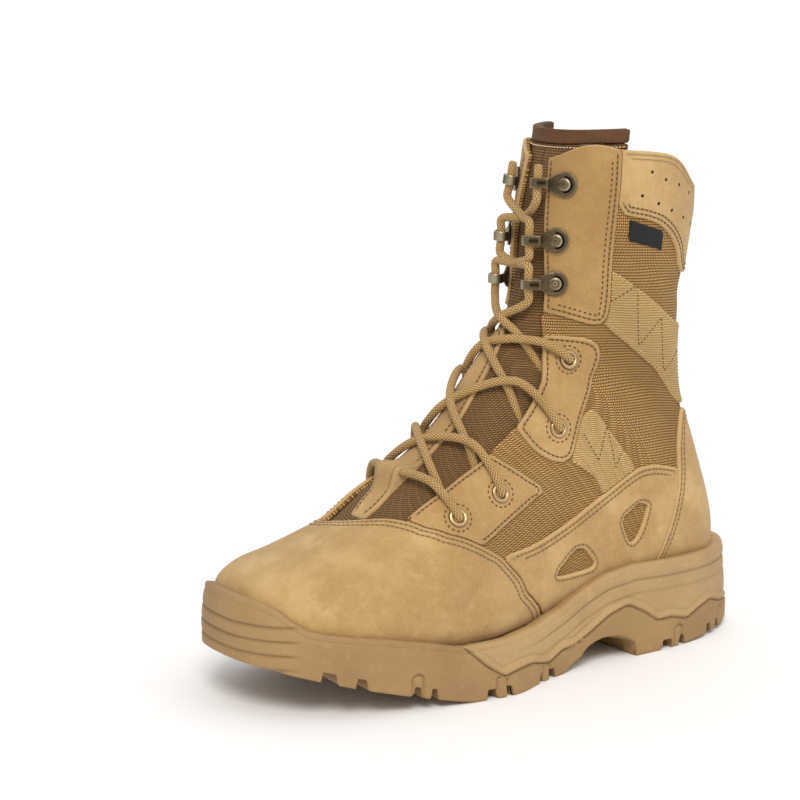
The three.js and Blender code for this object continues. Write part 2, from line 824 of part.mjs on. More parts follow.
// A round punch through leather, canvas and lining at each eyelet
const punchRadius = eyeletHole + eyeletBarrel + gap;
const punch = new THREE.CylinderGeometry(punchRadius, punchRadius, 4 * lining, tube);
punch.rotateX(Math.PI / 2);
const eyeletFrames = sides.flatMap(([, side]) => eyeletPlaces.map((place) => seatFrame(place, side, 0)));
const punches = union(eyeletFrames.map((frame) => placed(punch, frame)));

const upper = shell(canvasFace, lining).subtract(collarCut).subtract(throatCut).subtract(punches);
add("upper", upper, weave());

// Insole: it fills the opening underneath and covers the turned-in edge of the upper
const insoleTop = [];
for (let x = -0.1 * length; x < 1.15 * length; x += 0.05 * length) {
  insoleTop.push(new THREE.Vector2(x, seat(x) + tongueFace + board));
}
insoleTop.push(new THREE.Vector2(1.2 * length, -sideHeight));
insoleTop.push(new THREE.Vector2(-0.2 * length, -sideHeight));
const filler = footOpening(gap, 0, heelSeat + tongueFace).intersect(skin(0));
add("insole", skin(tongueFace).add(filler).intersect(prism(insoleTop)), paint("#6f5a3c", 0.9));

// Tongue: padded, wider than the throat, running from under the vamp to above the collar
const tongueSide = [
  [0.8, 0.25],
  [0.735, 0.29],
  [0.66, 0.31],
  [0.56, 0.36],
  [0.47, 0.44],
  [0.405, 0.52],
  [0.365, 0.61],
  [0.345, 0.71],
  [0.32, 0.87],
  [0.3, 1.03],
  [0.3, 1.2],
  [0.6, 1.2],
  [0.85, 0.5],
];
const tongueTop = 1.022;
const bindingTop = 1.05;
const level = (from, to) => prism(sideShape([[-0.1, from], [1, from], [1, to], [-0.1, to]]));
const tongueLayer = skin(tongueFace).subtract(skin(tongueBack));
const tongueBody = tongueLayer.intersect(prism(sideShape(tongueSide)));
add("tongue", tongueBody.intersect(level(0, tongueTop)), paint("#7d6437", 0.9));
const bindingFrom = tongueTop + gap / frontHeight;
add("tongue_binding", tongueBody.intersect(level(bindingFrom, bindingTop)), paint("#6b4423", 0.6));

// Overlays share one layer and meet edge to edge
const layer = shell(0, leather).subtract(collarCut).subtract(punches);
const seamRow = (turn) => between(vampSeam, turn);
const seamGap = 0.04; // the same gap in rows of the last's table
const vampBody = skin(-3 * leather, seamRow);
const vampClear = skin(-3 * leather, (turn) => seamRow(turn) + seamGap);
add("vamp", layer.intersect(vampBody), suede());

const rest = layer.subtract(throatCut).subtract(vampClear);
function panel(name, away) {
  const piece = rest.intersect(prism(outline[name]));
  return away.reduce((left, other) => left.subtract(clear(other)), piece);
}
const windows = prism(outline.windowFront).add(prism(outline.windowRear));
const overlays = [
  ["eyestay_top", "eyestayTop", []],
  ["eyestay_middle", "eyestayMiddle", []],
  ["eyestay_lower", "eyestayLower", []],
  ["quarter_overlay", "quarter", ["counter", "eyestayLower"]],
  ["webbing_lower", "webbingLower", ["eyestayMiddle", "quarter"]],
];
for (const [name, shape, away] of overlays) {
  const whole = panel(shape, away);
  const both = shape === "quarter" ? whole.subtract(windows) : whole;
  const material = shape === "webbingLower" ? webbing : suede;
  for (const [sideName, side] of sides) add(`${name}_${sideName}`, half(both, side), material());
}
add("heel_counter", panel("counter", []), suede());
add("collar_cuff", panel("cuff", ["eyestayTop"]), suede());
add("webbing_upper", panel("webbingUpper", ["eyestayTop", "counter"]), webbing());

const labelLayer = skin(leather / 2).subtract(skin(leather));
add("label", half(labelLayer.intersect(prism(outline.label)), 1), paint("#1b1b1d", 0.8));

// Strap of webbing up the middle of the tongue, narrower than the throat by a share of the ball
// width on each side, between two places in the last's table
const strapInset = 0.19;
const strapRows = [6.7, 12.4];
const strapLayer = skin(tongueFace - gap - leather).subtract(skin(tongueFace - gap));
const strapBlock = slot(-strapInset * ballWidth, ...strapRows, 2 * tongueBack, tongueBack);
add("tongue_strap", strapLayer.intersect(strapBlock), webbing());

// Eyelets: a flange on the leather and a barrel through the wall
const flangeRise = 1.5 * gap;
const eyeletProfile = [
  [eyeletHole, -lining],
  [eyeletHole + eyeletBarrel, -lining],
  [eyeletHole + eyeletBarrel, flangeRise],
  [eyeletFlange, flangeRise],
  [eyeletHole, flangeRise + 1],
  [eyeletHole, -lining],
];
const eyeletRing = new THREE.LatheGeometry(eyeletProfile.map(([x, y]) => new THREE.Vector2(x, y)), tube);
eyeletRing.rotateX(Math.PI / 2);

// Lace hooks: a plate under a rivet, bent over toward the outside
function hookGeometry() {
  const sheet = hookSheet / 2;
  const bendRadius = lace / 2 + gap + sheet + 0.2;
  const low = 2 * gap + sheet;
  const centre = low + bendRadius;
  const tip = hookReach - hookTip;
  const quarter = Math.PI / 2;
  const profile = new THREE.Shape();
  profile.moveTo(0, low - sheet);
  profile.absarc(hookReach, centre, bendRadius + sheet, -quarter, quarter, false);
  profile.lineTo(tip, centre + bendRadius + sheet);
  profile.lineTo(tip, centre + bendRadius - sheet);
  profile.absarc(hookReach, centre, bendRadius - sheet, quarter, -quarter, true);
  profile.lineTo(0, low + sheet);
  const bent = { depth: hookWidth, bevelEnabled: false, curveSegments: 3 };
  const strip = new THREE.ExtrudeGeometry(profile, bent);
  strip.rotateX(quarter);
  strip.translate(0, hookWidth / 2, 0);
  const plate = new THREE.CylinderGeometry(hookPlate, hookPlate, hookSheet, tube);
  plate.rotateX(quarter);
  plate.translate(0, 0, low);
  const rivet = new THREE.CylinderGeometry(rivetHead, rivetFoot, rivetRise, tube / 2);
  rivet.rotateX(quarter);
  rivet.translate(0, 0, low + sheet + rivetRise / 2 - gap / 2);
  return [strip, plate, rivet];
}
const hookPieces = hookGeometry();

for (const [sideName, side] of sides) {
  eyeletPlaces.forEach((place, i) => {
    add(`eyelet_${sideName}_${i + 1}`, placed(eyeletRing, seatFrame(place, side, 0)), metal());
  });
  hookPlaces.forEach((place, i) => {
    const matrix = seatFrame(place, side, 0);
    add(`hook_${sideName}_${i + 1}`, union(hookPieces.map((piece) => placed(piece, matrix))), metal());
  });
}

// Laces: a bar at the lowest eyelets, three crossings above it and one cord round the hooks.
// A cord leaves from under one edge of the throat and goes down into the next eyelet opposite.
const onLeather = lace / 2 + 2 * gap;
const onFlange = onLeather + flangeRise + 1;
const overTongue = 1.2;
const underEdge = -0.8;

function cord(points, steps = 2) {
  const shape = new THREE.Shape();
  shape.absarc(0, 0, lace / 2, 0, 2 * Math.PI, false);
  const geometry = new THREE.ExtrudeGeometry(shape, {
    steps: steps * (points.length - 1),
    curveSegments: 3,
    bevelEnabled: false,
    extrudePath: new THREE.CatmullRomCurve3(points),
  });
  return solid(geometry);
}

// A point over the outer face from a row, a turn and a height, mirrored on the inner side
const over = (side, [row, turn, height]) => facePlace(row, side > 0 ? turn : 1 - turn, -height);

const laceBar = [
  [7.7, 0.36, onFlange],
  [7.5, 0.42, onLeather],
  [7.2, 0.5, overTongue],
  [7.5, 0.58, onLeather],
  [7.7, 0.64, onFlange],
];
const laceCrossings = [
  [
    [7.7, 0.44, underEdge],
    [8.1, 0.5, overTongue],
    [8.9, 0.585, onLeather],
    [9.1, 0.655, onFlange],
  ],
  [
    [8.9, 0.445, underEdge],
    [9.4, 0.5, overTongue],
    [11, 0.59, onLeather],
    [11.5, 0.66, onFlange],
  ],
  [
    [10.8, 0.445, underEdge],
    [11.4, 0.5, overTongue],
    [13, 0.585, onLeather],
    [13.6, 0.625, onFlange],
  ],
];
add("lace_bar", cord(laceBar.map((place) => over(1, place))), cordage());
laceCrossings.forEach((places, i) => {
  const strands = [1, -1].map((side) => cord(places.map((place) => over(side, place))));
  add(`lace_crossing_${i + 1}`, union(strands), cordage());
});

// Over the hooks the cord crosses before each pair and runs up through the hook's channel
const hookCrossings = [
  [12.9, 0.5, overTongue],
  [16, 0.5, overTongue],
  [18.4, 0.5, overTongue],
];
const channel = 2 * gap + hookSheet + lace / 2 + 0.5;
const passing = hookWidth / 2 + 1.4 * lace;
function throughHook(place, side) {
  const matrix = seatFrame(place, side, 0);
  return [1, 0.4, -0.4, -1].map((share) => {
    return new THREE.Vector3(hookReach, passing * side * share, channel).applyMatrix4(matrix);
  });
}
const hookCordFrom = [12.6, 0.46, underEdge];
const hookStrands = [1, -1].map((side) => {
  const points = [over(side, hookCordFrom)];
  hookPlaces.forEach((place, i) => {
    points.push(over(side, hookCrossings[i]), ...throughHook(place, i % 2 === 0 ? -side : side));
  });
  return cord(points, 1);
});
add("lace_hooks", union(hookStrands), cordage());

// The origin is on the floor under the middle of the boot
const box = new THREE.Box3().setFromObject(boot);
const middle = box.getCenter(new THREE.Vector3());
boot.position.set(-middle.x, -middle.y, -box.min.z);

export default boot;
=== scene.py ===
# A left combat boot in tan suede and woven nylon on a two-part rubber sole.
# Sizes are in millimetres in the boot's own frame, with the heel's back near x = 0, and meshes are
# made in metres in the part's frame.
import math

import bpy
import numpy as np
from mathutils import Matrix, Vector


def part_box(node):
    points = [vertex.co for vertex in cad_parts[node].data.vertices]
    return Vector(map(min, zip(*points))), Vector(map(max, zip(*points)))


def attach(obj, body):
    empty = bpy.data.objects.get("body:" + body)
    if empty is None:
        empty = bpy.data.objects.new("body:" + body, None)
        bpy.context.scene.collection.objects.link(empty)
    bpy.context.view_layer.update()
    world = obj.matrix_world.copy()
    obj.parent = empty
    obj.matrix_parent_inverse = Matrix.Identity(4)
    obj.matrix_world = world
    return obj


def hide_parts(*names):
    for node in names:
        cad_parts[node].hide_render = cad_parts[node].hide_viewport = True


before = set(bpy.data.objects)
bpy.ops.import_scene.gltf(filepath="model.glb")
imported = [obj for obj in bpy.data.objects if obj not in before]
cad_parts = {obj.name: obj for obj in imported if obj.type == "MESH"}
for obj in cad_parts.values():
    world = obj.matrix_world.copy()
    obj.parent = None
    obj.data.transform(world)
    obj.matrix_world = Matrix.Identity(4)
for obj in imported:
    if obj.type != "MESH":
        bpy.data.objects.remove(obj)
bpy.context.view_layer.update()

# Camera, floor and light: a pale floor, a large soft light from the upper left and an even sky.
# The camera stands at the height of a seated viewer, outside and ahead of the boot.
MM = 0.001
HEEL_POINT = 0.54  # the sole's rearmost point in the boot's own frame
SIDE_MIDDLE = 3.235  # the middle of its width there
ORIGIN = np.array([HEEL_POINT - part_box("outsole")[0][0] / MM, SIDE_MIDDLE, 0.0])

CAMERA_PLACE = np.array([839.9, 956.2, 349.0])
CAMERA_TARGET = np.array([157.0, 0.0, 110.0])
CAMERA_ROLL = math.radians(0.33)
TARGET_PIXEL = (476.0, 443.0)
FRAME_SIDE = 800.0
FOCAL_PIXELS = 2418.0
SENSOR = 36.0


def unit(vector):
    return vector / np.linalg.norm(vector, axis=-1, keepdims=True)


def place_camera():
    ahead = unit(CAMERA_TARGET - CAMERA_PLACE)
    right = unit(np.cross(ahead, [0, 0, 1]))
    up = np.cross(right, ahead)
    turn, lean = math.cos(CAMERA_ROLL), math.sin(CAMERA_ROLL)
    right, up = turn * right + lean * up, turn * up - lean * right
    aside = FRAME_SIDE / 2 - TARGET_PIXEL[0]
    below = FRAME_SIDE / 2 - TARGET_PIXEL[1]
    ahead = unit(ahead * FOCAL_PIXELS + right * aside - up * below)
    right = unit(right - ahead * (right @ ahead))
    up = np.cross(right, ahead)
    data = bpy.data.cameras.new("camera")
    data.sensor_width = SENSOR
    data.lens = SENSOR * FOCAL_PIXELS / FRAME_SIDE
    data.clip_start, data.clip_end = 0.05, 80
    camera = bpy.data.objects.new("camera", data)
    bpy.context.collection.objects.link(camera)
    rows = Matrix(np.stack([right, up, -ahead]).T.tolist())
    camera.matrix_world = Matrix.Translation((CAMERA_PLACE - ORIGIN) * MM) @ rows.to_4x4()
    bpy.context.scene.camera = camera


def far_light(name, toward, power, spread, colour=(1, 1, 1)):
    """A large soft light far away, so that it falls evenly on the whole floor."""
    data = bpy.data.lights.new(name, "SUN")
    data.energy = power
    data.angle = math.radians(spread)
    data.color = colour
    light = bpy.data.objects.new(name, data)
    bpy.context.collection.objects.link(light)
    light.rotation_euler = Vector(toward).to_track_quat("Z", "Y").to_euler()


place_camera()
far_light("key", (0.5, 0.72, 0.92), 1.8, 26, (1, 0.97, 0.925))
far_light("fill", (-0.5, 0.6, 0.9), 0.35, 60)
far_light("back", (-0.5, -0.8, 0.9), 0.3, 60)

world = bpy.data.worlds.new("studio")
bpy.context.scene.world = world
world.use_nodes = True
world.node_tree.nodes["Background"].inputs["Color"].default_value = (1, 1, 1, 1)
world.node_tree.nodes["Background"].inputs["Strength"].default_value = 0.6
bpy.context.scene.view_settings.view_transform = "Standard"


class Field:
    """A number, colour or vector in a material, at one node's output."""

    def __init__(self, tree, socket=None):
        self.tree, self.socket = tree, socket

    def node(self, kind, settings=None, inputs=None, out=0):
        made = self.tree.nodes.new(kind)
        for name, value in (settings or {}).items():
            setattr(made, name, value)
        for name, value in (inputs or {}).items():
            if isinstance(value, Field):
                self.tree.links.new(value.socket, made.inputs[name])
            else:
                made.inputs[name].default_value = value
        return Field(self.tree, made.outputs[out])

    def maths(self, operation, *values):
        return self.node("ShaderNodeMath", {"operation": operation}, dict(enumerate(values)))

    def __add__(self, other):
        return self.maths("ADD", self, other)

    __radd__ = __add__

    def __sub__(self, other):
        return self.maths("SUBTRACT", self, other)

    def __rsub__(self, other):
        return self.maths("SUBTRACT", other, self)

    def __mul__(self, other):
        return self.maths("MULTIPLY", self, other)

    __rmul__ = __mul__

    def __truediv__(self, other):
        return self.maths("DIVIDE", self, other)

    def __abs__(self):
        return self.maths("ABSOLUTE", self)

    def sine(self):
        return self.maths("SINE", self)

    def floor(self):
        return self.maths("FLOOR", self)

    def fraction(self):
        return self.maths("FRACT", self)

    def above(self, low, high):
        """0 below low, 1 above high and smooth between."""
        return self.node(
            "ShaderNodeMapRange",
            {"interpolation_type": "SMOOTHSTEP"},
            {"Value": self, "From Min": low, "From Max": high, "To Min": 0.0, "To Max": 1.0},
        )

    def line(self, place, width):
        """1 where the value is at a place and 0 farther than the width from it."""
        return 1 - abs(self - place).above(0.0, width)

    def mix(self, low, high):
        """A colour between two, by this share."""
        colours = {6: low, 7: high}
        inputs = {0: self, **{k: v if isinstance(v, Field) else (*v, 1) for k, v in colours.items()}}
        return self.node("ShaderNodeMix", {"data_type": "RGBA", "clamp_factor": True}, inputs, 2)

    def noise(self, scale, detail=2.0, roughness=0.5):
        place = self.node("ShaderNodeTexCoord", out=3)
        inputs = {"Vector": place, "Scale": scale, "Detail": detail, "Roughness": roughness}
        return self.node("ShaderNodeTexNoise", {}, inputs)

    def attribute(self, name):
        return self.node("ShaderNodeAttribute", {"attribute_name": name}, out=2)

    def bump(self, height, distance):
        return self.node("ShaderNodeBump", {}, {"Height": height, "Distance": distance, "Strength": 1.0})

    def across_and_along(self):
        """The two lengths over a cloth or cord that its mesh keeps."""
        uv = self.node("ShaderNodeUVMap", {"uv_map": "uv"})
        split = uv.node("ShaderNodeSeparateXYZ", {}, {0: uv})
        return split, Field(split.tree, split.socket.node.outputs[1])


def material(name, build, **fixed):
    """A material whose shader takes fixed values, and what build returns for its other sockets."""
    made = bpy.data.materials.new(name)
    made.use_nodes = True
    tree = made.node_tree
    shader = tree.nodes["Principled BSDF"]
    for socket, value in fixed.items():
        shader.inputs[socket.replace("_", " ")].default_value = value
    for socket, value in build(Field(tree)).items():
        if isinstance(value, Field):
            tree.links.new(value.socket, shader.inputs[socket])
        else:
            shader.inputs[socket].default_value = value
    return made


def flat_colour(colour):
    return lambda field: {"Base Color": (*colour, 1)}


FLOOR_HALF = 30.0  # metres
floor_corners = [(x * FLOOR_HALF, y * FLOOR_HALF, 0) for x, y in ((-1, -1), (1, -1), (1, 1), (-1, 1))]
floor_mesh = bpy.data.meshes.new("floor")
floor_mesh.from_pydata(floor_corners, [], [(0, 1, 2, 3)])
floor = bpy.data.objects.new("floor", floor_mesh)
bpy.context.collection.objects.link(floor)
floor_mesh.materials.append(material("floor", flat_colour((0.95, 0.95, 0.955)), Roughness=0.8))

# Upper: a shell of woven nylon with its lining, cut and sewn to the shape of the last, which is given
# here in sections from the toe to the heel and up the shaft. It lies under the suede, is glued down
# into the sole, and is open at the collar and the throat.
LENGTH = 302.0
BALL_WIDTH = 110.0
INSTEP_HEIGHT = 165.0
FRONT_HEIGHT = 252.0
BACK_HEIGHT = 233.0
HEEL_SEAT = 30.0
BALL_SEAT = 16.0
TOE_SPRING = 26.0
HEEL_BEVEL = 3.5
TOE_FROM, HEEL_FROM = 0.66, 0.21  # shares of the length where the tread starts to lift
SIDE_HEIGHT = 47.0
LUG_DEPTH = 5.0
ARCH_HEIGHT = 9.5
SUEDE = 1.4
CANVAS = 2.0
PADDING = 5.0
GAP = 0.3
FAR = 1e3  # a distance that no part of the boot reaches
CANVAS_FACE = SUEDE + GAP
LINING = CANVAS_FACE + CANVAS
TONGUE_FACE = LINING + GAP
TONGUE_BACK = TONGUE_FACE + PADDING

COLUMNS = ("x", "up", "crest_x", "crest", "outer", "inner", "centre", "widest", "low", "high")
SECTIONS = np.array([
    (0.962, 0.06, 0.972, 0.28, 0.11, 0.11, -0.05, 0.5, 2, 2),
    (0.956, 0.015, 0.966, 0.335, 0.22, 0.22, -0.045, 0.42, 2.6, 2.2),
    (0.94, 0, 0.945, 0.375, 0.32, 0.32, -0.04, 0.38, 3, 2.3),
    (0.908, 0, 0.912, 0.405, 0.395, 0.38, -0.03, 0.35, 3.2, 2.3),
    (0.868, 0, 0.87, 0.425, 0.44, 0.415, -0.015, 0.34, 3.4, 2.3),
    (0.815, 0, 0.815, 0.462, 0.465, 0.435, -0.005, 0.33, 3.4, 2.2),
    (0.755, 0, 0.76, 0.51, 0.48, 0.445, 0, 0.3, 3.4, 2.1),
    (0.69, 0, 0.7, 0.6, 0.485, 0.44, 0, 0.28, 3.4, 2.05),
    (0.61, 0, 0.635, 0.69, 0.465, 0.41, 0, 0.26, 3.4, 2.05),
    (0.53, 0, 0.585, 0.77, 0.425, 0.375, 0, 0.26, 3.4, 2.05),
    (0.44, 0, 0.545, 0.865, 0.385, 0.345, 0, 0.28, 3.4, 2.1),
    (0.34, 0, 0.51, 0.945, 0.36, 0.33, 0, 0.3, 3.4, 2.1),
    (0.24, 0, 0.487, 1, 0.35, 0.33, 0, 0.33, 3.4, 2.1),
    (0.135, 0, 0.469, 1.09, 0.335, 0.33, 0, 0.36, 3.1, 2.1),
    (0.06, 0.01, 0.456, 1.18, 0.317, 0.315, 0, 0.4, 2.6, 2.1),
    (0.04, 0.08, 0.447, 1.27, 0.307, 0.305, 0, 0.43, 2.25, 2.1),
    (0.05, 0.17, 0.44, 1.38, 0.305, 0.305, 0, 0.45, 2.1, 2.1),
    (0.077, 0.285, 0.433, 1.48, 0.31, 0.31, 0, 0.47, 2.05, 2.15),
    (0.109, 0.4, 0.426, 1.6, 0.32, 0.32, 0, 0.5, 2.1, 2.2),
    (0.127, 0.5, 0.42, 1.7, 0.33, 0.33, 0, 0.5, 2.15, 2.2),
    (0.13, 0.63, 0.414, 1.79, 0.34, 0.335, 0, 0.5, 2.2, 2.2),
    (0.124, 0.76, 0.408, 1.87, 0.35, 0.345, 0, 0.5, 2.2, 2.2),
    (0.114, 0.87, 0.403, 1.94, 0.355, 0.35, 0, 0.5, 2.2, 2.2),
    (0.108, 0.96, 0.398, 2.02, 0.36, 0.355, 0, 0.5, 2.2, 2.2),
    (0.108, 1.07, 0.391, 2.13, 0.365, 0.36, 0, 0.5, 2.2, 2.2),
    (0.108, 1.18, 0.385, 2.26, 0.37, 0.365, 0, 0.5, 2.2, 2.2),
])
LAST_ROW = len(SECTIONS) - 1
RINGS = 263
AROUND = 240


def smooth(x, low, high):
    share = np.clip((x - low) / (high - low), 0, 1)
    return share * share * (3 - 2 * share)


def toe_rise(x):
    return TOE_SPRING * np.maximum(0, (x / LENGTH - TOE_FROM) / (1 - TOE_FROM)) ** 1.1


def tread_rise(x):
    return toe_rise(x) + HEEL_BEVEL * np.maximum(0, 1 - x / LENGTH / HEEL_FROM)


def seat_height(x):
    return HEEL_SEAT + (BALL_SEAT - HEEL_SEAT) * smooth(x / LENGTH, 0.24, 0.6) + 0.62 * toe_rise(x)


def section_at(row):
    first = np.clip(np.floor(row).astype(int), 0, LAST_ROW - 1)
    share = (row - first)[..., None]
    a, b, c, d = (SECTIONS[np.clip(first + k, 0, LAST_ROW)] for k in (-1, 0, 1, 2))
    bend = share * (2 * a - 5 * b + 4 * c - d + share * (3 * (b - c) + d - a))
    value = b + 0.5 * share * (c - a + bend)
    return {name: value[..., k] for k, name in enumerate(COLUMNS)}


def face_point(row, turn):
    """A point of the boot's outer face: turn 0 is at the sole or back and 0.25 on the outer side."""
    row, turn = np.broadcast_arrays(np.asarray(row, float), np.asarray(turn, float))
    c = section_at(row)
    x, centre = c["x"] * LENGTH, c["centre"] * BALL_WIDTH
    low = np.stack([x, centre, seat_height(x) + c["up"] * (BACK_HEIGHT - HEEL_SEAT)], axis=-1)
    foot = np.minimum(c["crest"], 1) * INSTEP_HEIGHT
    leg = np.maximum(c["crest"] - 1, 0) * (FRONT_HEIGHT - INSTEP_HEIGHT)
    high = np.stack([c["crest_x"] * LENGTH, centre, foot + leg], axis=-1)
    rise, out = -np.cos(2 * np.pi * turn), np.sin(2 * np.pi * turn)
    power = 2 / np.where(rise < 0, c["low"], c["high"])
    bulge = np.abs(rise) ** power
    share = np.where(rise < 0, c["widest"] * (1 - bulge), c["widest"] + (1 - c["widest"]) * bulge)
    point = low + (high - low) * share[..., None]
    half = np.where(out > 0, c["outer"], c["inner"]) * BALL_WIDTH
    point[..., 1] += np.sign(out) * np.abs(out) ** power * half
    return point


def face_normal(row, turn):
    row = np.asarray(row, float)
    along = face_point(np.minimum(row + 0.05, LAST_ROW), turn) - face_point(np.maximum(row - 0.05, 0), turn)
    across = face_point(row, np.asarray(turn) + 0.01) - face_point(row, np.asarray(turn) - 0.01)
    return unit(np.cross(along, across))


def chaikin(points, closed=True, rounds=2, cut=0.22):
    """An outline with its corners cut round."""
    points = np.asarray(points, float)
    for _ in range(rounds):
        after = np.roll(points, -1, axis=0)
        near, far = points + (after - points) * cut, after + (points - after) * cut
        fresh = np.stack([near, far], axis=1).reshape(-1, points.shape[1])
        points = fresh if closed else np.concatenate([points[:1], fresh[:-2], points[-1:]])
    return points


def inside_distance(points, outline):
    """Distance to a closed outline in a plane, positive inside it."""
    flat = points.reshape(-1, 2)
    nearest = np.full(len(flat), 1e9)
    inside = np.zeros(len(flat), bool)
    for a, b in zip(outline, np.roll(outline, -1, axis=0)):
        edge = b - a
        share = np.clip(((flat - a) @ edge) / max(edge @ edge, 1e-12), 0, 1)
        nearest = np.minimum(nearest, np.sum((flat - a - share[:, None] * edge) ** 2, axis=1))
        crosses = (a[1] > flat[:, 1]) != (b[1] > flat[:, 1])
        if edge[1] != 0:
            inside ^= crosses & (flat[:, 0] < a[0] + (flat[:, 1] - a[1]) * edge[0] / edge[1])
    return (np.where(inside, 1, -1) * np.sqrt(nearest)).reshape(points.shape[:-1])


# Soft folds of the cloth and suede: the ends of each in the side view, its half width and depth
CREASES = (
    ((0.43, 0.60), (0.20, 0.50), 6, 1.9),
    ((0.44, 0.70), (0.24, 0.60), 7, -1.4),
    ((0.52, 0.36), (0.30, 0.43), 8, -1.4),
    ((0.60, 0.27), (0.68, 0.12), 8, 1.2),
    ((0.70, 0.29), (0.76, 0.13), 7, 0.9),
    ((0.33, 0.96), (0.12, 0.86), 9, -1.5),
    ((0.31, 0.79), (0.12, 0.70), 6, 1.8),
    ((0.12, 0.34), (0.10, 0.20), 10, -0.7),
)


def crease_depth(points):
    depth = np.zeros(points.shape[:-1])
    side = points[..., [0, 2]]
    for start, end, width, deep in CREASES:
        a = np.array(start) * (LENGTH, FRONT_HEIGHT)
        edge = np.array(end) * (LENGTH, FRONT_HEIGHT) - a
        share = np.clip(((side - a) @ edge) / (edge @ edge), 0, 1)
        away = np.linalg.norm(side - a - share[..., None] * edge, axis=-1)
        depth += deep * np.exp(-((away / width) ** 2)) * np.sin(np.pi * np.clip(share, 0.05, 0.95))
    return depth


ROWS = np.linspace(0, LAST_ROW, RINGS)[:, None] + np.zeros((1, AROUND))
TURNS = np.arange(AROUND)[None, :] / AROUND + np.zeros((RINGS, 1))


def slopes(values):
    along = np.gradient(values, axis=0)
    across = (np.roll(values, -1, axis=1) - np.roll(values, 1, axis=1)) / 2
    return along, across


def grid_normals(points):
    along, across = slopes(points)
    return unit(np.cross(along, across))


FACE = face_point(ROWS, TURNS)
FACE -= grid_normals(FACE) * crease_depth(FACE)[..., None]
OUT = grid_normals(FACE)
ALONG, ACROSS = slopes(FACE)

# Lengths along and round the face, for the weave
step_round = np.linalg.norm(np.roll(FACE, -1, axis=1) - FACE, axis=-1)
round_length = np.cumsum(step_round, axis=1) - step_round
girth = step_round.sum(axis=1, keepdims=True)
round_length = np.where(TURNS > 0.5, round_length - girth, round_length)
step_along = np.linalg.norm(np.diff(FACE, axis=0), axis=-1)
along_length = np.concatenate([np.zeros((1, AROUND)), np.cumsum(step_along, axis=0)])
along_length -= along_length[-1:]


def quads(rows, columns, closed=True):
    """Triangles over a grid of points, joined round where it is closed."""
    spans = columns if closed else columns - 1
    row, column = (k.ravel() for k in np.meshgrid(np.arange(rows - 1), np.arange(spans), indexing="ij"))
    a, b = row * columns + column, row * columns + (column + 1) % columns
    c, d = a + columns, b + columns
    return np.concatenate([np.stack([a, c, d], axis=1), np.stack([a, d, b], axis=1)])


TRIANGLES = quads(RINGS, AROUND)


def surface_distance(level):
    """A level as a distance along the face, and the direction in which it grows."""
    fr, ft = slopes(level)
    e, f, g = (np.sum(p * q, axis=-1) for p, q in ((ALONG, ALONG), (ALONG, ACROSS), (ACROSS, ACROSS)))
    det = np.maximum(e * g - f * f, 1e-9)
    a, b = (g * fr - f * ft) / det, (e * ft - f * fr) / det
    grow = a[..., None] * ALONG + b[..., None] * ACROSS
    size = np.maximum(np.linalg.norm(grow, axis=-1), 0.05)
    return level / size, grow / size[..., None]


def clip(data, triangles, level):
    """The part of a mesh where the level is positive, and the edges that the cut leaves."""
    inside = level > 0
    count = inside[triangles].sum(axis=1)
    cut = triangles[(count == 1) | (count == 2)]
    one_in = inside[cut].sum(axis=1) == 1
    odd = np.argmax(inside[cut] == one_in[:, None], axis=1)
    cut = cut[np.arange(len(cut))[:, None], (odd[:, None] + np.arange(3)) % 3]
    pairs = np.sort(np.concatenate([cut[:, [0, 1]], cut[:, [0, 2]]]), axis=1)
    pairs, place = np.unique(pairs, axis=0, return_inverse=True)
    place = place.ravel() + len(data)
    la, lb = level[pairs[:, 0]], level[pairs[:, 1]]
    share = (la / (la - lb))[:, None]
    fresh = data[pairs[:, 0]] * (1 - share) + data[pairs[:, 1]] * share
    first, second = place[: len(cut)], place[len(cut):]
    lone, two = one_in, ~one_in
    made = [
        triangles[count == 3],
        np.stack([cut[lone, 0], first[lone], second[lone]], axis=1),
        np.stack([first[two], cut[two, 1], cut[two, 2]], axis=1),
        np.stack([first[two], cut[two, 2], second[two]], axis=1),
    ]
    edges = np.concatenate([
        np.stack([first[lone], second[lone]], axis=1),
        np.stack([second[two], first[two]], axis=1),
    ])
    return np.concatenate([data, fresh]), np.concatenate(made), edges


def compact(data, triangles, edges):
    used, place = np.unique(triangles, return_inverse=True)
    new = np.full(len(data), -1)
    new[used] = np.arange(len(used))
    return data[used], place.reshape(-1, 3), new[edges]


def mesh_piece(name, points, triangles, paint, node=None, uv=None, attributes=None):
    """A smooth mesh from points in millimetres in the boot's own frame."""
    mesh = bpy.data.meshes.new(name)
    mesh.from_pydata(((points - ORIGIN) * MM).tolist(), [], triangles.tolist())
    mesh.polygons.foreach_set("use_smooth", np.ones(len(mesh.polygons), bool))
    if uv is not None:
        layer = mesh.uv_layers.new(name="uv")
        index = np.empty(len(mesh.loops), int)
        mesh.loops.foreach_get("vertex_index", index)
        layer.data.foreach_set("uv", uv[index].astype(np.float32).ravel())
    for key, values in (attributes or {}).items():
        made = mesh.attributes.new(key, "FLOAT", "POINT")
        made.data.foreach_set("value", values.astype(np.float32))
    mesh.materials.append(paint)
    piece = bpy.data.objects.new(name, mesh)
    bpy.context.collection.objects.link(piece)
    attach(piece, "root")
    if node:
        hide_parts(node)
    return piece


EDGE_ROUND = 0.6
SHELL_STEPS, LAYER_STEPS = 6, 3  # steps round the edge of a shell and of a layer
EDGE_COLUMN, KIND_COLUMN = 11, 12


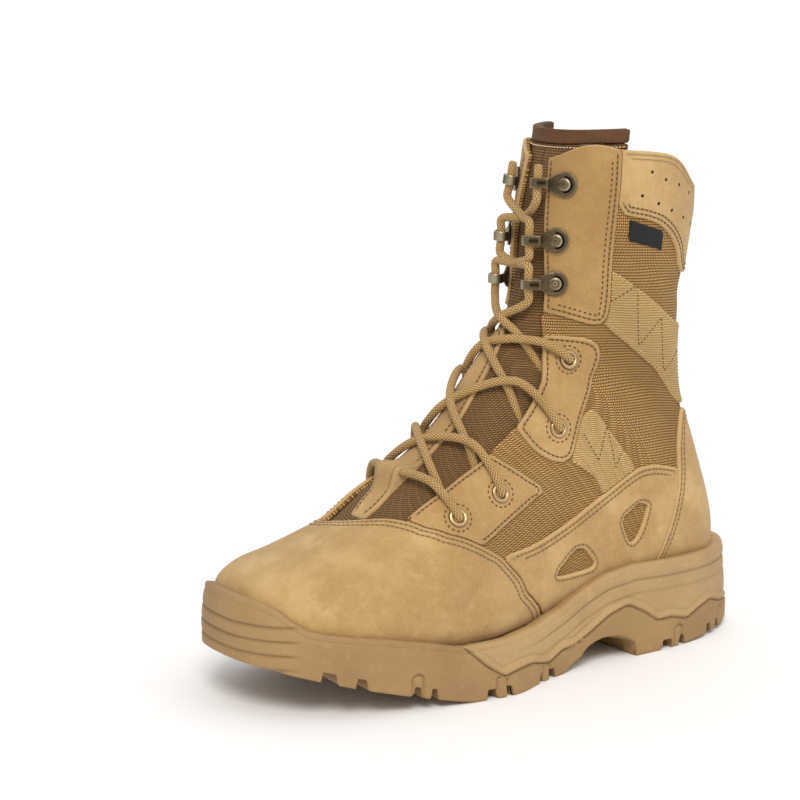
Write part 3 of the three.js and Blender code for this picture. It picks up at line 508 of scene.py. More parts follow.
def cut_face(levels, inset):
    """The face inside all levels, as columns: place, outward, away from the edge, uv, edge distance
    and which level is the nearest."""
    distances, grows = zip(*(surface_distance(level) for level in levels))
    distances, grows = np.stack(distances), np.stack(grows)
    which = np.argmin(distances, axis=0)
    distance = np.take_along_axis(distances, which[None], axis=0)[0]
    grow = np.take_along_axis(grows, which[None, ..., None], axis=0)[0]
    data = np.concatenate([
        FACE,
        OUT,
        -grow,
        round_length[..., None],
        along_length[..., None],
        distance[..., None],
        which[..., None],
    ], axis=-1).reshape(RINGS * AROUND, -1)
    return clip(data, TRIANGLES, data[:, EDGE_COLUMN] - inset)


def layer_piece(
    name,
    levels,
    paint,
    node,
    top=0.0,
    bottom=CANVAS_FACE,
    shell=False,
    crown=None,
    stitched=(),
    one_row=(),
):
    """A layer cut from the face with rounded edges, between two depths below it. A shell also has its
    inner side. Edges made by the levels numbered in stitched and one_row have stitch channels."""
    data, triangles, edges = compact(*cut_face(levels, EDGE_ROUND))
    place, out, away, uv, edge, kinds = np.split(data, (3, 6, 9, EDGE_COLUMN, KIND_COLUMN), axis=1)
    away, edge, kinds = unit(away), edge[:, 0], np.round(kinds[:, 0])
    lift = crown(data) if crown else np.zeros(len(data))
    points = [place - out * (top - lift)[:, None]]
    faces, uvs, edge_values = [triangles], [uv], [edge]
    stitch_flags = [np.isin(kinds, stitched) + 0.5 * np.isin(kinds, one_row)]
    rim, numbered = np.unique(edges, return_inverse=True)
    numbered = numbered.reshape(-1, 2)
    steps = SHELL_STEPS if shell else LAYER_STEPS
    reach = math.pi if shell else math.pi / 2
    previous = rim
    for k in range(1, steps + 1):
        angle = reach * k / steps
        drop = (1 - math.cos(angle)) * (0.5 if shell else 1) * (bottom - top + lift[rim]) - lift[rim]
        side = EDGE_ROUND * math.sin(angle)
        points.append(place[rim] + away[rim] * side - out[rim] * (top + drop)[:, None])
        uvs.append(uv[rim])
        edge_values.append(np.full(len(rim), EDGE_ROUND - side))
        stitch_flags.append(np.zeros(len(rim)))
        here = len(data) + (k - 1) * len(rim) + np.arange(len(rim))
        a, b = previous[numbered[:, 0]], previous[numbered[:, 1]]
        c, d = here[numbered[:, 0]], here[numbered[:, 1]]
        faces += [np.stack([b, a, c], axis=1), np.stack([b, c, d], axis=1)]
        previous = here
    if shell:
        inner = len(data) + steps * len(rim) + np.arange(len(data))
        inner[rim] = previous
        points.append(place - out * bottom)
        faces.append(inner[triangles][:, ::-1])
        uvs.append(uv)
        edge_values.append(edge)
        stitch_flags.append(np.zeros(len(data)))
    piece = mesh_piece(
        name,
        np.concatenate(points),
        np.concatenate(faces),
        paint,
        node,
        np.concatenate(uvs) * MM,
        {"edge": np.concatenate(edge_values), "stitched": np.concatenate(stitch_flags)},
    )
    if shell:
        bpy.context.view_layer.objects.active = piece
        clean = piece.modifiers.new("clean", "WELD")
        clean.merge_threshold = 1e-7
    return piece


def woven(tint, dark, light, pitch, lift=0.0):
    """A plain weave of round yarns, with painted shade in the pits between them and a painted highlight on
    their tops that lift raises: pitch is the spacing of the yarns in metres.
    """

    def build(field):
        across, along = (length / pitch for length in field.across_and_along())
        parity = ((across.floor() + along.floor()) * 0.5).fraction() * 2
        warp = (across.fraction() * math.pi).sine()
        weft = (along.fraction() * math.pi).sine()
        warp_top = warp * (0.35 + weft * 0.5)
        weft_top = weft * (0.5 + warp * 0.5)
        height = warp_top * parity + weft_top * (1 - parity)
        fuzz = field.noise(2600, 3)
        patch = field.noise(70, 3)
        # Painted shade: the pits between the yarns go towards the dark colour.
        shade = height.above(0.12, 0.8) * 0.85 + fuzz * 0.3 - 0.1
        base = shade.mix(dark, tint)
        # Painted highlight on the yarn tops, stronger in random patches and raised by lift.
        glint = height.above(0.6, 1.0) * 0.5 + patch.above(0.35, 0.75) * 0.2 + lift
        highlighted = (glint * height.above(0.3, 0.8)).mix(base, light)
        normal = field.bump(height + fuzz * 0.25, 0.0006)
        return {"Base Color": highlighted, "Normal": normal, "Roughness": 0.9 - height * 0.25}

    return build


canvas_cloth = material(
    "canvas cloth",
    woven((0.53, 0.285, 0.078), (0.1, 0.04, 0.008), (0.86, 0.56, 0.21), 0.00142),
)
collar_line = [
    (0.5, 0.93), (0.405, 0.985), (0.375, 1.018), (0.35, 1.022), (0.32, 1.01), (0.27, 1.006),
    (0.22, 0.998), (0.19, 0.975), (0.165, 0.945), (0.135, 0.925), (0.05, 0.92),
    (0.05, 1.3), (0.5, 1.3),
]
THROAT = np.array([
    (5.2, 0.2, 0.2),
    (6.4, 0.26, 0.25),
    (7.7, 0.275, 0.265),
    (10.3, 0.27, 0.26),
    (12, 0.235, 0.23),
    (12.7, 0.2, 0.2),
    (14, 0.155, 0.16),
    (18.5, 0.11, 0.125),
    (22.3, 0.075, 0.1),
    (25, 0.07, 0.1),
])
SOLE_TOP = np.array([
    (0, 0.97), (0.1, 0.96), (0.22, 0.98), (0.29, 1), (0.35, 0.95), (0.4, 0.84), (0.45, 0.7),
    (0.51, 0.6), (0.58, 0.56), (0.68, 0.58), (0.74, 0.68), (0.81, 0.77), (0.9, 0.86),
    (0.925, 0.9), (0.943, 0.98), (0.958, 1.08), (0.975, 1.15), (1, 1.19),
])
HIDDEN_BELOW = 9.0  # how far the upper's layers run down inside the sole


STEEP, LEVEL = 400, 20  # millimetres to a turn and to a row, roughly, in the levels


def side_shape(points, rounds=2):
    return chaikin(np.array(points) * (LENGTH, FRONT_HEIGHT), rounds=rounds)


def sole_top(x):
    return np.interp(x / LENGTH, SOLE_TOP[:, 0], SOLE_TOP[:, 1]) * SIDE_HEIGHT


SIDE_VIEW = FACE[..., [0, 2]]
above_floor = FACE[..., 2] - sole_top(FACE[..., 0]) + HIDDEN_BELOW
below_collar = -inside_distance(SIDE_VIEW, side_shape(collar_line, rounds=3))
half_throat = np.where(
    FACE[..., 1] > 0,
    np.interp(ROWS, THROAT[:, 0], THROAT[:, 1]),
    np.interp(ROWS, THROAT[:, 0], THROAT[:, 2]),
) * BALL_WIDTH
beside_throat = np.abs(FACE[..., 1] - section_at(ROWS)["centre"] * BALL_WIDTH) - half_throat
beside_throat = np.maximum(beside_throat, (np.abs(TURNS - 0.5) - 0.25) * STEEP)
beside_throat = np.maximum(beside_throat, (THROAT[0, 0] - ROWS) * LEVEL)
SHELL = [below_collar, beside_throat, above_floor]
layer_piece("nylon_shell", SHELL, canvas_cloth, "upper", CANVAS_FACE, LINING, shell=True)

# Vamp: one piece of suede over the toe, cut with the nap outside. Two rows of stitches along its
# rear edge hold it to the quarters and across the throat, and its lower edge is inside the sole.
SUEDE_TINT = (0.545, 0.345, 0.138)
SUEDE_DARK = (0.375, 0.212, 0.07)
SUEDE_PALE = (0.68, 0.475, 0.225)


def suede(rows=(2.2,), pale=0.0):
    """Napped hide: a fine mottle, brushed streaks, a pale cut edge and painted shade in the stitch channels.
    """

    def build(field):
        patches = field.noise(34, 3, 0.5)
        brushed = field.noise(165, 4, 0.6)
        mottle = field.noise(640, 3, 0.62)
        fibres = field.noise(2300, 3, 0.7)
        tone = patches.above(0.3, 0.7) * 0.45 + brushed.above(0.3, 0.7) * 0.22
        tone = tone + mottle.above(0.3, 0.7) * 0.2 + fibres.above(0.32, 0.7) * 0.33
        base = (tone - 0.02 + pale).mix(SUEDE_DARK, SUEDE_TINT)
        smudge = patches.above(0.5, 0.7) * 0.3 + brushed.above(0.54, 0.8) * 0.25 + pale
        base = smudge.mix(base, SUEDE_PALE)
        edge = field.attribute("edge")
        cut = 1 - edge.above(0.15, 0.9)
        base = (cut * 0.5).mix(base, (0.72, 0.5, 0.24))
        sewn = field.attribute("stitched")
        channel = edge.line(rows[0], 0.55) * sewn.above(0.2, 0.4)
        for row in rows[1:]:
            channel = edge.line(row, 0.55) * sewn.above(0.7, 0.9) + channel
        # Painted shade in the pressed stitch channels, which the bump also dents.
        base = (channel * 0.3).mix(base, (0.27, 0.145, 0.045))
        height = fibres * 0.5 + mottle * 0.5 + brushed * 0.5 - channel * 1.2
        return {"Base Color": base, "Normal": field.bump(height, 0.0005)}

    return build


NAP = {"Roughness": 1.0, "Sheen_Weight": 0.12, "Sheen_Roughness": 0.6}
suede_single = material("suede single row", suede(pale=-0.12), **NAP)
suede_top = material("suede top stay", suede(pale=-0.42), **NAP)
suede_double = material("suede double row", suede((2.0, 4.4)), **NAP)
suede_cuff = material("suede cuff", suede((2.0, 4.2), pale=0.08), **NAP)
VAMP_SEAM = np.array([
    (0, 9.7), (0.15, 9.65), (0.2, 9.53), (0.23, 9.37), (0.26, 9.1), (0.29, 8.65), (0.32, 7.97),
    (0.35, 7.36), (0.38, 6.88), (0.41, 6.58), (0.44, 6.3), (0.47, 5.98), (0.5, 5.68), (0.53, 5.52),
    (0.56, 5.55), (0.6, 5.95), (0.64, 6.8), (0.68, 7.8), (0.72, 8.9), (0.77, 9.4), (0.85, 9.65), (1, 9.7),
])
seam_row = np.interp(TURNS, VAMP_SEAM[:, 0], VAMP_SEAM[:, 1])
on_vamp = seam_row - ROWS
layer_piece("vamp_suede", [on_vamp, above_floor], suede_double, "vamp", stitched=(0,))

# Overlays: suede panels, cut flat and sewn over the nylon to stiffen it at the heel, the quarters,
# the eyelets and hooks, and the collar. They share one layer with the webbing and meet edge to edge.
behind_vamp = ROWS - seam_row - 0.04  # rows
OUTLINES = {
    "eyestay_top": [
        (0.5, 1.2), (0.5, 0.69), (0.424, 0.697), (0.387, 0.682), (0.353, 0.668), (0.336, 0.672),
        (0.328, 0.692), (0.331, 0.79), (0.327, 0.87), (0.32, 0.96), (0.315, 1.2),
    ],
    "eyestay_middle": [
        (0.5, 0.655), (0.42, 0.652), (0.36, 0.642), (0.342, 0.626), (0.338, 0.605), (0.347, 0.565),
        (0.384, 0.495), (0.397, 0.462), (0.413, 0.42), (0.432, 0.411), (0.455, 0.418),
        (0.485, 0.441), (0.51, 0.487), (0.6, 0.5),
    ],
    "eyestay_lower": [
        (0.6, 0.46), (0.57, 0.445), (0.555, 0.436), (0.478, 0.37), (0.478, 0.36), (0.6, 0.288),
        (0.66, 0.262), (0.8, 0.3), (0.8, 0.46),
    ],
    "cuff": [
        (0.34, 0.89), (0.255, 0.87), (0.218, 0.842), (0.192, 0.806), (0.18, 0.77), (0.16, 0.75),
        (-0.1, 0.74), (-0.1, 1.3), (0.34, 1.3),
    ],
    "webbing_upper": [
        (0.35, 0.787), (0.32, 0.77), (0.245, 0.71), (0.19, 0.663), (0.05, 0.61), (0.05, 0.485),
        (0.165, 0.485), (0.205, 0.53), (0.23, 0.567), (0.262, 0.595), (0.275, 0.607), (0.35, 0.68),
    ],
    "webbing_lower": [
        (0.365, 0.52), (0.325, 0.452), (0.265, 0.36), (0.34, 0.32), (0.352, 0.335), (0.365, 0.37),
        (0.39, 0.39), (0.43, 0.425),
    ],
    "counter": [
        (-0.1, 0.44), (0.1, 0.455), (0.135, 0.475), (0.163, 0.48), (0.178, 0.42), (0.177, 0.335),
        (0.193, 0.268), (0.217, 0.205), (0.232, 0.155), (0.24, 0.05), (-0.1, 0.05),
    ],
    "quarter": [
        (0.7, 0.25), (0.573, 0.254), (0.497, 0.262), (0.42, 0.294), (0.348, 0.337), (0.275, 0.377),
        (0.228, 0.377), (0.181, 0.362), (0.1, 0.35), (0.1, 0.02), (0.7, 0.02),
    ],
    "window_front": [
        (0.457, 0.195), (0.402, 0.246), (0.368, 0.2), (0.375, 0.19), (0.448, 0.188),
    ],
    "window_rear": [
        (0.247, 0.318), (0.27, 0.246), (0.291, 0.222), (0.312, 0.274), (0.305, 0.285),
    ],
    "label": [(0.302, 0.873), (0.232, 0.847), (0.235, 0.81), (0.304, 0.833)],
}
inside = {
    name: inside_distance(SIDE_VIEW, side_shape(points, rounds=0 if name == "label" else 2))
    for name, points in OUTLINES.items()
}
OUTER_SIDE = np.where((TURNS > 0.0) & (TURNS < 0.5), 1, -1) * np.minimum(np.abs(FACE[..., 1]) + 2, 30)
SIDES = (("outer", 1), ("inner", -1))
QUARTER_CUTS = ("counter", "eyestay_lower", "window_front", "window_rear")


def clear_of(name):
    return -inside[name] - GAP


def side_levels(name, side):
    """The levels of a panel on one side: its outline is level 0 and the throat is level 2."""
    levels = [inside[name], behind_vamp, beside_throat, above_floor, below_collar, side * OUTER_SIDE]
    return levels + [clear_of(other) for other in (QUARTER_CUTS if name == "quarter" else ())]


for side_name, side in SIDES:
    for name, node, paint, stitched in (
        ("eyestay_top", "eyestay_top", suede_top, (0, 2)),
        ("eyestay_middle", "eyestay_middle", suede_single, (0, 2)),
        ("eyestay_lower", "eyestay_lower", suede_single, (0, 2)),
        ("quarter", "quarter_overlay", suede_double, (0, 5)),
    ):
        node = f"{node}_{side_name}"
        levels = side_levels(name, side)
        layer_piece(f"{node}_suede", levels, paint, node, stitched=stitched, one_row=(8, 9))
counter_levels = [inside["counter"], above_floor]
layer_piece("heel_counter_suede", counter_levels, suede_double, "heel_counter", stitched=(0,))
cuff_levels = [inside["cuff"], below_collar, clear_of("eyestay_top")]
layer_piece("collar_cuff_suede", cuff_levels, suede_cuff, "collar_cuff", stitched=(0, 1))

# Webbing: flat nylon bands, woven thicker than the canvas, that steady the ankle. One runs round its
# back and one down each side, and their ends are sewn under the suede.
BAND_DEPTH = 0.3
# Its lift of 0.2 makes the painted highlight on the band's yarns stronger.
band_cloth = material(
    "band cloth",
    woven((0.74, 0.475, 0.18), (0.34, 0.185, 0.055), (0.88, 0.63, 0.29), 0.00128, 0.2),
)
upper_band = [inside["webbing_upper"], clear_of("eyestay_top"), clear_of("counter")]
layer_piece("webbing_upper_band", upper_band, band_cloth, "webbing_upper", BAND_DEPTH)
lower_bands = []
for side_name, side in SIDES:
    levels = [inside["webbing_lower"], clear_of("eyestay_middle"), clear_of("quarter"), side * OUTER_SIDE]
    lower_bands.append(levels)
    node = f"webbing_lower_{side_name}"
    layer_piece(f"{node}_band", levels, band_cloth, node, BAND_DEPTH)

# Label: a small black woven tag on the outer side only, without any words here. It is sewn to the
# canvas just under the cuff.
label_cloth = material(
    "label cloth",
    woven((0.02, 0.02, 0.023), (0.004, 0.004, 0.005), (0.035, 0.035, 0.04), 0.0006),
)
layer_piece("label_tag", [inside["label"], OUTER_SIDE], label_cloth, "label", 0.7, 1.5)

# Tongue: foam between two layers of cloth, sewn in at the bottom and loose behind the throat. Its cloth is a
# darker copy of the canvas: painted shade of the throat.
# A strip of smooth leather is folded over its top edge and stitched down.
tongue_side = [
    (0.8, 0.25), (0.735, 0.29), (0.66, 0.31), (0.56, 0.36), (0.47, 0.44), (0.405, 0.52),
    (0.365, 0.61), (0.345, 0.71), (0.32, 0.87), (0.3, 1.03), (0.3, 1.2), (0.6, 1.2), (0.85, 0.5),
]
TONGUE_TOP = 1.022
BINDING_TOP = 1.05
# The canvas's weave in darker colours: painted shade for the throat.
shaded_tongue_cloth = material(
    "tongue cloth",
    woven((0.28, 0.14, 0.038), (0.055, 0.023, 0.006), (0.42, 0.24, 0.08), 0.0014),
)
on_tongue = inside_distance(SIDE_VIEW, side_shape(tongue_side))


def under_height(share):
    return share * FRONT_HEIGHT - FACE[..., 2]


PUFF, PUFF_REACH = 0.9, 9.0


def quilted(data):
    """The padding is fuller between the stitched edges."""
    return PUFF * smooth(data[:, EDGE_COLUMN], 0, PUFF_REACH)


tongue = layer_piece(
    "tongue_pad",
    [on_tongue, under_height(TONGUE_TOP)],
    shaded_tongue_cloth,
    "tongue",
    TONGUE_FACE + PUFF,
    TONGUE_BACK,
    shell=True,
    crown=quilted,
)


def hide(field):
    """Smooth leather with a fine grain."""
    place = field.node("ShaderNodeTexCoord", out=3)
    grain = field.node("ShaderNodeTexVoronoi", {}, {"Vector": place, "Scale": 900.0})
    mottle = field.noise(120, 3)
    base = mottle.mix((0.075, 0.03, 0.01), (0.15, 0.065, 0.024))
    return {"Base Color": base, "Normal": field.bump(grain, 0.0002), "Roughness": 0.58 + mottle * 0.15}


binding_leather = material("binding leather", hide, Specular_IOR_Level=0.3)
layer_piece(
    "tongue_binding_leather",
    [on_tongue, under_height(BINDING_TOP), -under_height(TONGUE_TOP)],
    binding_leather,
    "tongue_binding",
    TONGUE_FACE,
    TONGUE_BACK,
    shell=True,
)


# Insole: a fibre board with a felted sock glued over it, which drops in on top of the midsole and is
# seen only through the collar.
def felt(field):
    fuzz = field.noise(900, 4, 0.7)
    base = fuzz.mix((0.09, 0.055, 0.025), (0.2, 0.13, 0.065))
    return {"Base Color": base, "Normal": field.bump(fuzz, 0.0005)}


insole_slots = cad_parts["insole"].data.materials
insole_slots.clear()
insole_slots.append(material("sock felt", felt, Roughness=1.0))

# Sole: an outsole of hard rubber with the tread, the toe bumper and the heel, and a softer
# midsole above a waved parting line. Both are moulded, so their grooves and beads have soft edges.
SOLE_OUTLINE = np.array([
    (0.014, 0), (0.028, 0.125), (0.064, 0.22), (0.125, 0.305), (0.2, 0.35), (0.29, 0.37),
    (0.37, 0.378), (0.45, 0.405), (0.53, 0.462), (0.61, 0.515), (0.68, 0.528), (0.75, 0.515),
    (0.81, 0.488), (0.87, 0.44), (0.925, 0.355), (0.965, 0.245), (0.988, 0.1), (0.991, -0.05),
    (0.983, -0.19), (0.96, -0.305), (0.92, -0.395), (0.86, -0.455), (0.79, -0.478),
    (0.72, -0.483), (0.65, -0.47), (0.57, -0.43), (0.48, -0.39), (0.38, -0.365),
    (0.28, -0.358), (0.2, -0.35), (0.125, -0.305), (0.064, -0.22), (0.028, -0.125),
])
# The line between outsole and midsole: shares of the length and of the side's height
PARTING = np.array([
    (-0.05, 0.26), (0.03, 0.27), (0.075, 0.32), (0.11, 0.4), (0.14, 0.36), (0.175, 0.27),
    (0.215, 0.34), (0.245, 0.33), (0.275, 0.46), (0.31, 0.57), (0.35, 0.5), (0.39, 0.37),
    (0.43, 0.26), (0.46, 0.25), (0.495, 0.16), (0.54, 0.23), (0.575, 0.23), (0.61, 0.2),
    (0.64, 0.33), (0.69, 0.62), (0.72, 0.8), (0.75, 1.25), (1.1, 1.6),
])
SIDE_FLARE = np.array([(0, 1.4), (0.14, 2.6), (0.5, 2.8), (0.8, 1.8), (1, 0.4)])
SPLAY_PLACE, SPLAY_HALF, SPLAY = 0.585, 0.055, 1.8  # the outer side leans out more at the ball
OUTSOLE_STEP = 1.0
WALL_COUNT = 1200


def closed_curve(points, each):
    """A centripetal Catmull-Rom curve round a closed outline."""
    p = [np.roll(points, k, axis=0)[:, None] for k in (1, 0, -1, -2)]
    d = [np.sqrt(np.linalg.norm(p[k + 1] - p[k], axis=-1, keepdims=True)) for k in range(3)]
    before = (p[1] - p[0]) / d[0] - (p[2] - p[0]) / (d[0] + d[1]) + (p[2] - p[1]) / d[1]
    after = (p[2] - p[1]) / d[1] - (p[3] - p[1]) / (d[1] + d[2]) + (p[3] - p[2]) / d[2]
    before, after = before * d[1], after * d[1]
    t = np.linspace(0, 1, each, endpoint=False)[None, :, None]
    cubic = 2 * p[1] - 2 * p[2] + before + after
    square = -3 * p[1] + 3 * p[2] - 2 * before - after
    return (p[1] + before * t + square * t**2 + cubic * t**3).reshape(-1, points.shape[1])


def even(points, count, closed=False):
    """The same line with its points an even distance apart."""
    line = np.concatenate([points, points[:1]]) if closed else points
    run = np.concatenate([[0], np.cumsum(np.linalg.norm(np.diff(line, axis=0), axis=1))])
    at = np.linspace(0, run[-1], count + 1)[:-1] if closed else np.linspace(0, run[-1], count)
    return np.stack([np.interp(at, run, line[:, k]) for k in range(line.shape[1])], axis=1)


rim_line = even(closed_curve(SOLE_OUTLINE * (LENGTH, BALL_WIDTH), 24), WALL_COUNT, closed=True)
ahead = unit(np.roll(rim_line, -1, axis=0) - np.roll(rim_line, 1, axis=0))
rim_out = np.stack([-ahead[:, 1], ahead[:, 0]], axis=1)

# Underside: lugs along both edges, blocks in the middle, ridges round toe and heel, a hollow waist
BREAST, WAIST_END = 0.293, 0.46
GROUND = np.array([
    (-0.1, 0), (BREAST, 0), (BREAST + 0.004, 0.84 * ARCH_HEIGHT),
    (BREAST + 0.03, ARCH_HEIGHT), (WAIST_END - 0.09, ARCH_HEIGHT),
    (WAIST_END - 0.055, 0.8 * ARCH_HEIGHT), (WAIST_END - 0.026, 0.42 * ARCH_HEIGHT),
    (WAIST_END, 0), (1.1, 0),
])
# Lugs: place and width along the boot, where they start from its middle, and how far they lean
OUTER_LUGS = (
    (0.868, 0.03, 0.25, 0.03), (0.798, 0.078, 0.19, 0.03), (0.745, 0.018, 0.3, 0.02),
    (0.68, 0.09, 0.26, 0.02), (0.616, 0.018, 0.3, 0), (0.56, 0.075, 0.28, 0), (0.504, 0.018, 0.27, 0),
    (0.452, 0.066, 0.16, -0.01), (0.262, 0.056, 0.15, 0), (0.205, 0.018, 0.22, -0.01),
    (0.155, 0.062, 0.18, -0.02), (0.103, 0.018, 0.19, -0.03), (0.066, 0.038, 0.13, -0.05),
)
INNER_LUGS = (
    (0.865, 0.03, 0.24, 0.03), (0.795, 0.078, 0.2, 0.03), (0.715, 0.07, 0.22, 0.01),
    (0.658, 0.018, 0.25, 0.01), (0.6, 0.08, 0.19, 0), (0.54, 0.018, 0.2, 0), (0.475, 0.08, 0.09, -0.01),
    (0.262, 0.056, 0.15, 0), (0.205, 0.018, 0.2, -0.01), (0.155, 0.062, 0.18, -0.02),
    (0.103, 0.018, 0.19, -0.03), (0.066, 0.038, 0.13, -0.05),
)
# Five-sided blocks in the middle: place, size and turn
BLOCKS = (
    (0.757, 0.12, 0.034, 0.1), (0.765, -0.12, 0.032, 0.55), (0.69, 0.07, 0.034, 0.3),
    (0.685, -0.13, 0.033, 0.8), (0.612, 0.12, 0.033, 0.15), (0.615, -0.05, 0.034, 0.6),
    (0.53, 0.13, 0.031, 0.4), (0.535, -0.05, 0.034, 0.9), (0.465, 0.03, 0.031, 0.2),
    (0.235, 0, 0.034, 0.1), (0.185, 0.09, 0.028, 0.5), (0.19, -0.08, 0.03, 0.8),
    (0.135, 0, 0.032, 0.3),
)
# Ridges round a centre: their radii, half angle and facing, then an outermost one with its half angle
TOE_RIDGES = ((0.79, -0.03), (0.062, 0.09, 0.118, 0.146), 0.62, 0.0, 0.174, 0.92)
HEEL_RIDGES = ((0.125, 0), (0.05, 0.078), 0.7, math.pi, 0.102, 0.7)
RIDGE_WIDTH = 0.013
SCOOP_PLACE, SCOOP_SIZE = (0.355, 0.46), (0.068, 0.2, 1.25)
STUD_LUG = 0.05  # lugs wider than this carry a round stud
lug_shapes = []
stud_places = []
for lugs, side in ((OUTER_LUGS, 1), (INNER_LUGS, -1)):
    for x, width, inner, lean in lugs:
        low, high = x - width / 2, x + width / 2
        corners = [(low, inner), (high, inner), (high + lean, 1), (low + lean, 1)]
        lug_shapes.append(np.array(corners) * (LENGTH, side * BALL_WIDTH))
        if width > STUD_LUG:
            stud_places.append(((x + lean * 0.3) * LENGTH, side * (inner + 0.105) * BALL_WIDTH))
for x, y, size, turn in BLOCKS:
    reach = np.array((0.92, 0.72, 1, 0.76, 0.95)) * size * LENGTH
    angle = 2 * np.pi * (turn + np.arange(5) / 5)
    corners = np.stack([x * LENGTH + reach * np.cos(angle), y * BALL_WIDTH + reach * np.sin(angle)], axis=1)
    lug_shapes.append(corners)
waist = (BREAST - 0.006, WAIST_END - 0.03)
waist_block = np.array([(waist[0], -1), (waist[1], -1), (waist[1], 1), (waist[0], 1)])
lug_shapes.append(waist_block * (LENGTH, BALL_WIDTH))


def ridge_distance(points, centre, radii, half, facing, outermost, reach):
    away = points - np.array(centre) * (LENGTH, BALL_WIDTH)
    far = np.linalg.norm(away, axis=-1)
    angle = np.abs(np.angle(np.exp(1j * (np.arctan2(away[..., 1], away[..., 0]) - facing))))
    best = np.full(far.shape, -FAR)
    rings = [(radius, radius + RIDGE_WIDTH, half) for radius in radii] + [(outermost, 0.4, reach)]
    for low, high, widest in rings:
        band = np.minimum(far - low * LENGTH, high * LENGTH - far)
        best = np.maximum(best, np.minimum(band, (widest - angle) * far))
    return best


def underside(points):
    """Height of the tread over the floor, and how deep in a groove the point is."""
    x, y = points[..., 0], points[..., 1]
    lug = np.maximum(ridge_distance(points, *TOE_RIDGES), ridge_distance(points, *HEEL_RIDGES))
    for shape in lug_shapes:
        lug = np.maximum(lug, inside_distance(points, shape))
    groove = 1 - smooth(lug, -0.25, 0.75)
    height = np.interp(x / LENGTH, GROUND[:, 0], GROUND[:, 1]) + tread_rise(x)
    height = np.maximum(height, tread_rise(x) + groove * LUG_DEPTH)
    for side in (1, -1):
        u = (x - SCOOP_PLACE[0] * LENGTH) / (SCOOP_SIZE[0] * LENGTH)
        v = (y - side * SCOOP_PLACE[1] * BALL_WIDTH) / (SCOOP_SIZE[1] * BALL_WIDTH)
        dome = np.sqrt(np.maximum(0, 1 - u * u - v * v)) * SCOOP_SIZE[2] * ARCH_HEIGHT
        height = np.maximum(height, np.where(dome > 0, dome + 0.25 * ARCH_HEIGHT, 0))
    return height, groove


def parting_height(x):
    fine = np.linspace(-20, LENGTH + 20, 700)
    line = np.interp(fine / LENGTH, PARTING[:, 0], PARTING[:, 1]) * SIDE_HEIGHT
    soft = np.convolve(np.pad(line, 7, mode="edge"), np.hanning(15) / np.hanning(15).sum(), mode="valid")
    return np.interp(x, fine, soft)


def bump_at(value, place, width):
    return np.exp(-(((value - place) / width) ** 2))


LOW_LEVELS, HIGH_LEVELS = 9, 58
TOE_RIBS = (0.5, 0.64, 0.78, 0.92)
HOOP_HEIGHT, HOOP_HALF = 10.5, 2.5
rim_x = rim_line[:, 0]
foot_x = np.clip(rim_x, 0, LENGTH)
wall_bottom, _ = underside(rim_line + rim_out * 1.0)
wall_low = tread_rise(foot_x) - LUG_DEPTH
wall_top = sole_top(foot_x)
over_waist = smooth(foot_x / LENGTH, 0.24, 0.29) * (1 - smooth(foot_x / LENGTH, 0.42, 0.48))
wall_middle = tread_rise(foot_x) + 6.5 + 10 * over_waist
low_share = np.linspace(0, 1, LOW_LEVELS)[:, None]
high_share = np.linspace(0, 1, HIGH_LEVELS)[1:, None]
wall_z = np.concatenate([
    (wall_bottom + 0.5)[None] * (1 - low_share) + wall_middle[None] * low_share,
    wall_middle[None] * (1 - high_share) + (wall_top - 0.8)[None] * high_share,
])
share = (wall_z - wall_low) / (wall_top - wall_low)
flare = np.interp(share, SIDE_FLARE[:, 0], SIDE_FLARE[:, 1])
splay = SPLAY * np.exp(-(((foot_x / LENGTH - SPLAY_PLACE) / SPLAY_HALF) ** 2)) * (rim_line[:, 1] > 0)
flare *= 1 + splay * np.clip(1 - share, 0, 1)
x_share = foot_x / LENGTH
slope = np.gradient(parting_height(np.arange(-20, LENGTH + 20)), 1.0)
steep = np.sqrt(1 + np.interp(rim_x, np.arange(-20, LENGTH + 20), slope) ** 2)
over_part = (wall_z - parting_height(rim_x)) / steep
at_toe = smooth(x_share, 0.7, 0.76)
rear = 1 - smooth(x_share, 0.42, 0.62)
down = wall_top - wall_z
flare = flare + OUTSOLE_STEP * np.maximum(1 - smooth(over_part, -0.3, 0.3), at_toe)
flare -= 1.1 * bump_at(over_part, 0.35, 0.4) * (1 - at_toe)
flare += 0.9 * bump_at(over_part, 2.3, 1.1) * (1 - at_toe)
flare -= 0.45 * bump_at(over_part, 4.6, 0.6) * (1 - at_toe)
flare -= rear * (0.9 * bump_at(down, 8.2, 0.6) + 0.5 * bump_at(down, 15.0, 0.8))
flare += rear * 0.7 * bump_at(down, 4.0, 3.0)
flare -= 0.35 * bump_at(down, 3.2, 0.5)
# Painted shade along the groove under the parting line and in the two grooves round the rear; it goes to the
# groove attribute.
wall_groove_shade = 0.8 * bump_at(over_part, 0.35, 0.5) * (1 - at_toe)
wall_groove_shade += rear * (0.45 * bump_at(down, 8.2, 0.6) + 0.3 * bump_at(down, 15.0, 0.8))
rib_fade = smooth(x_share, 0.925, 0.95)
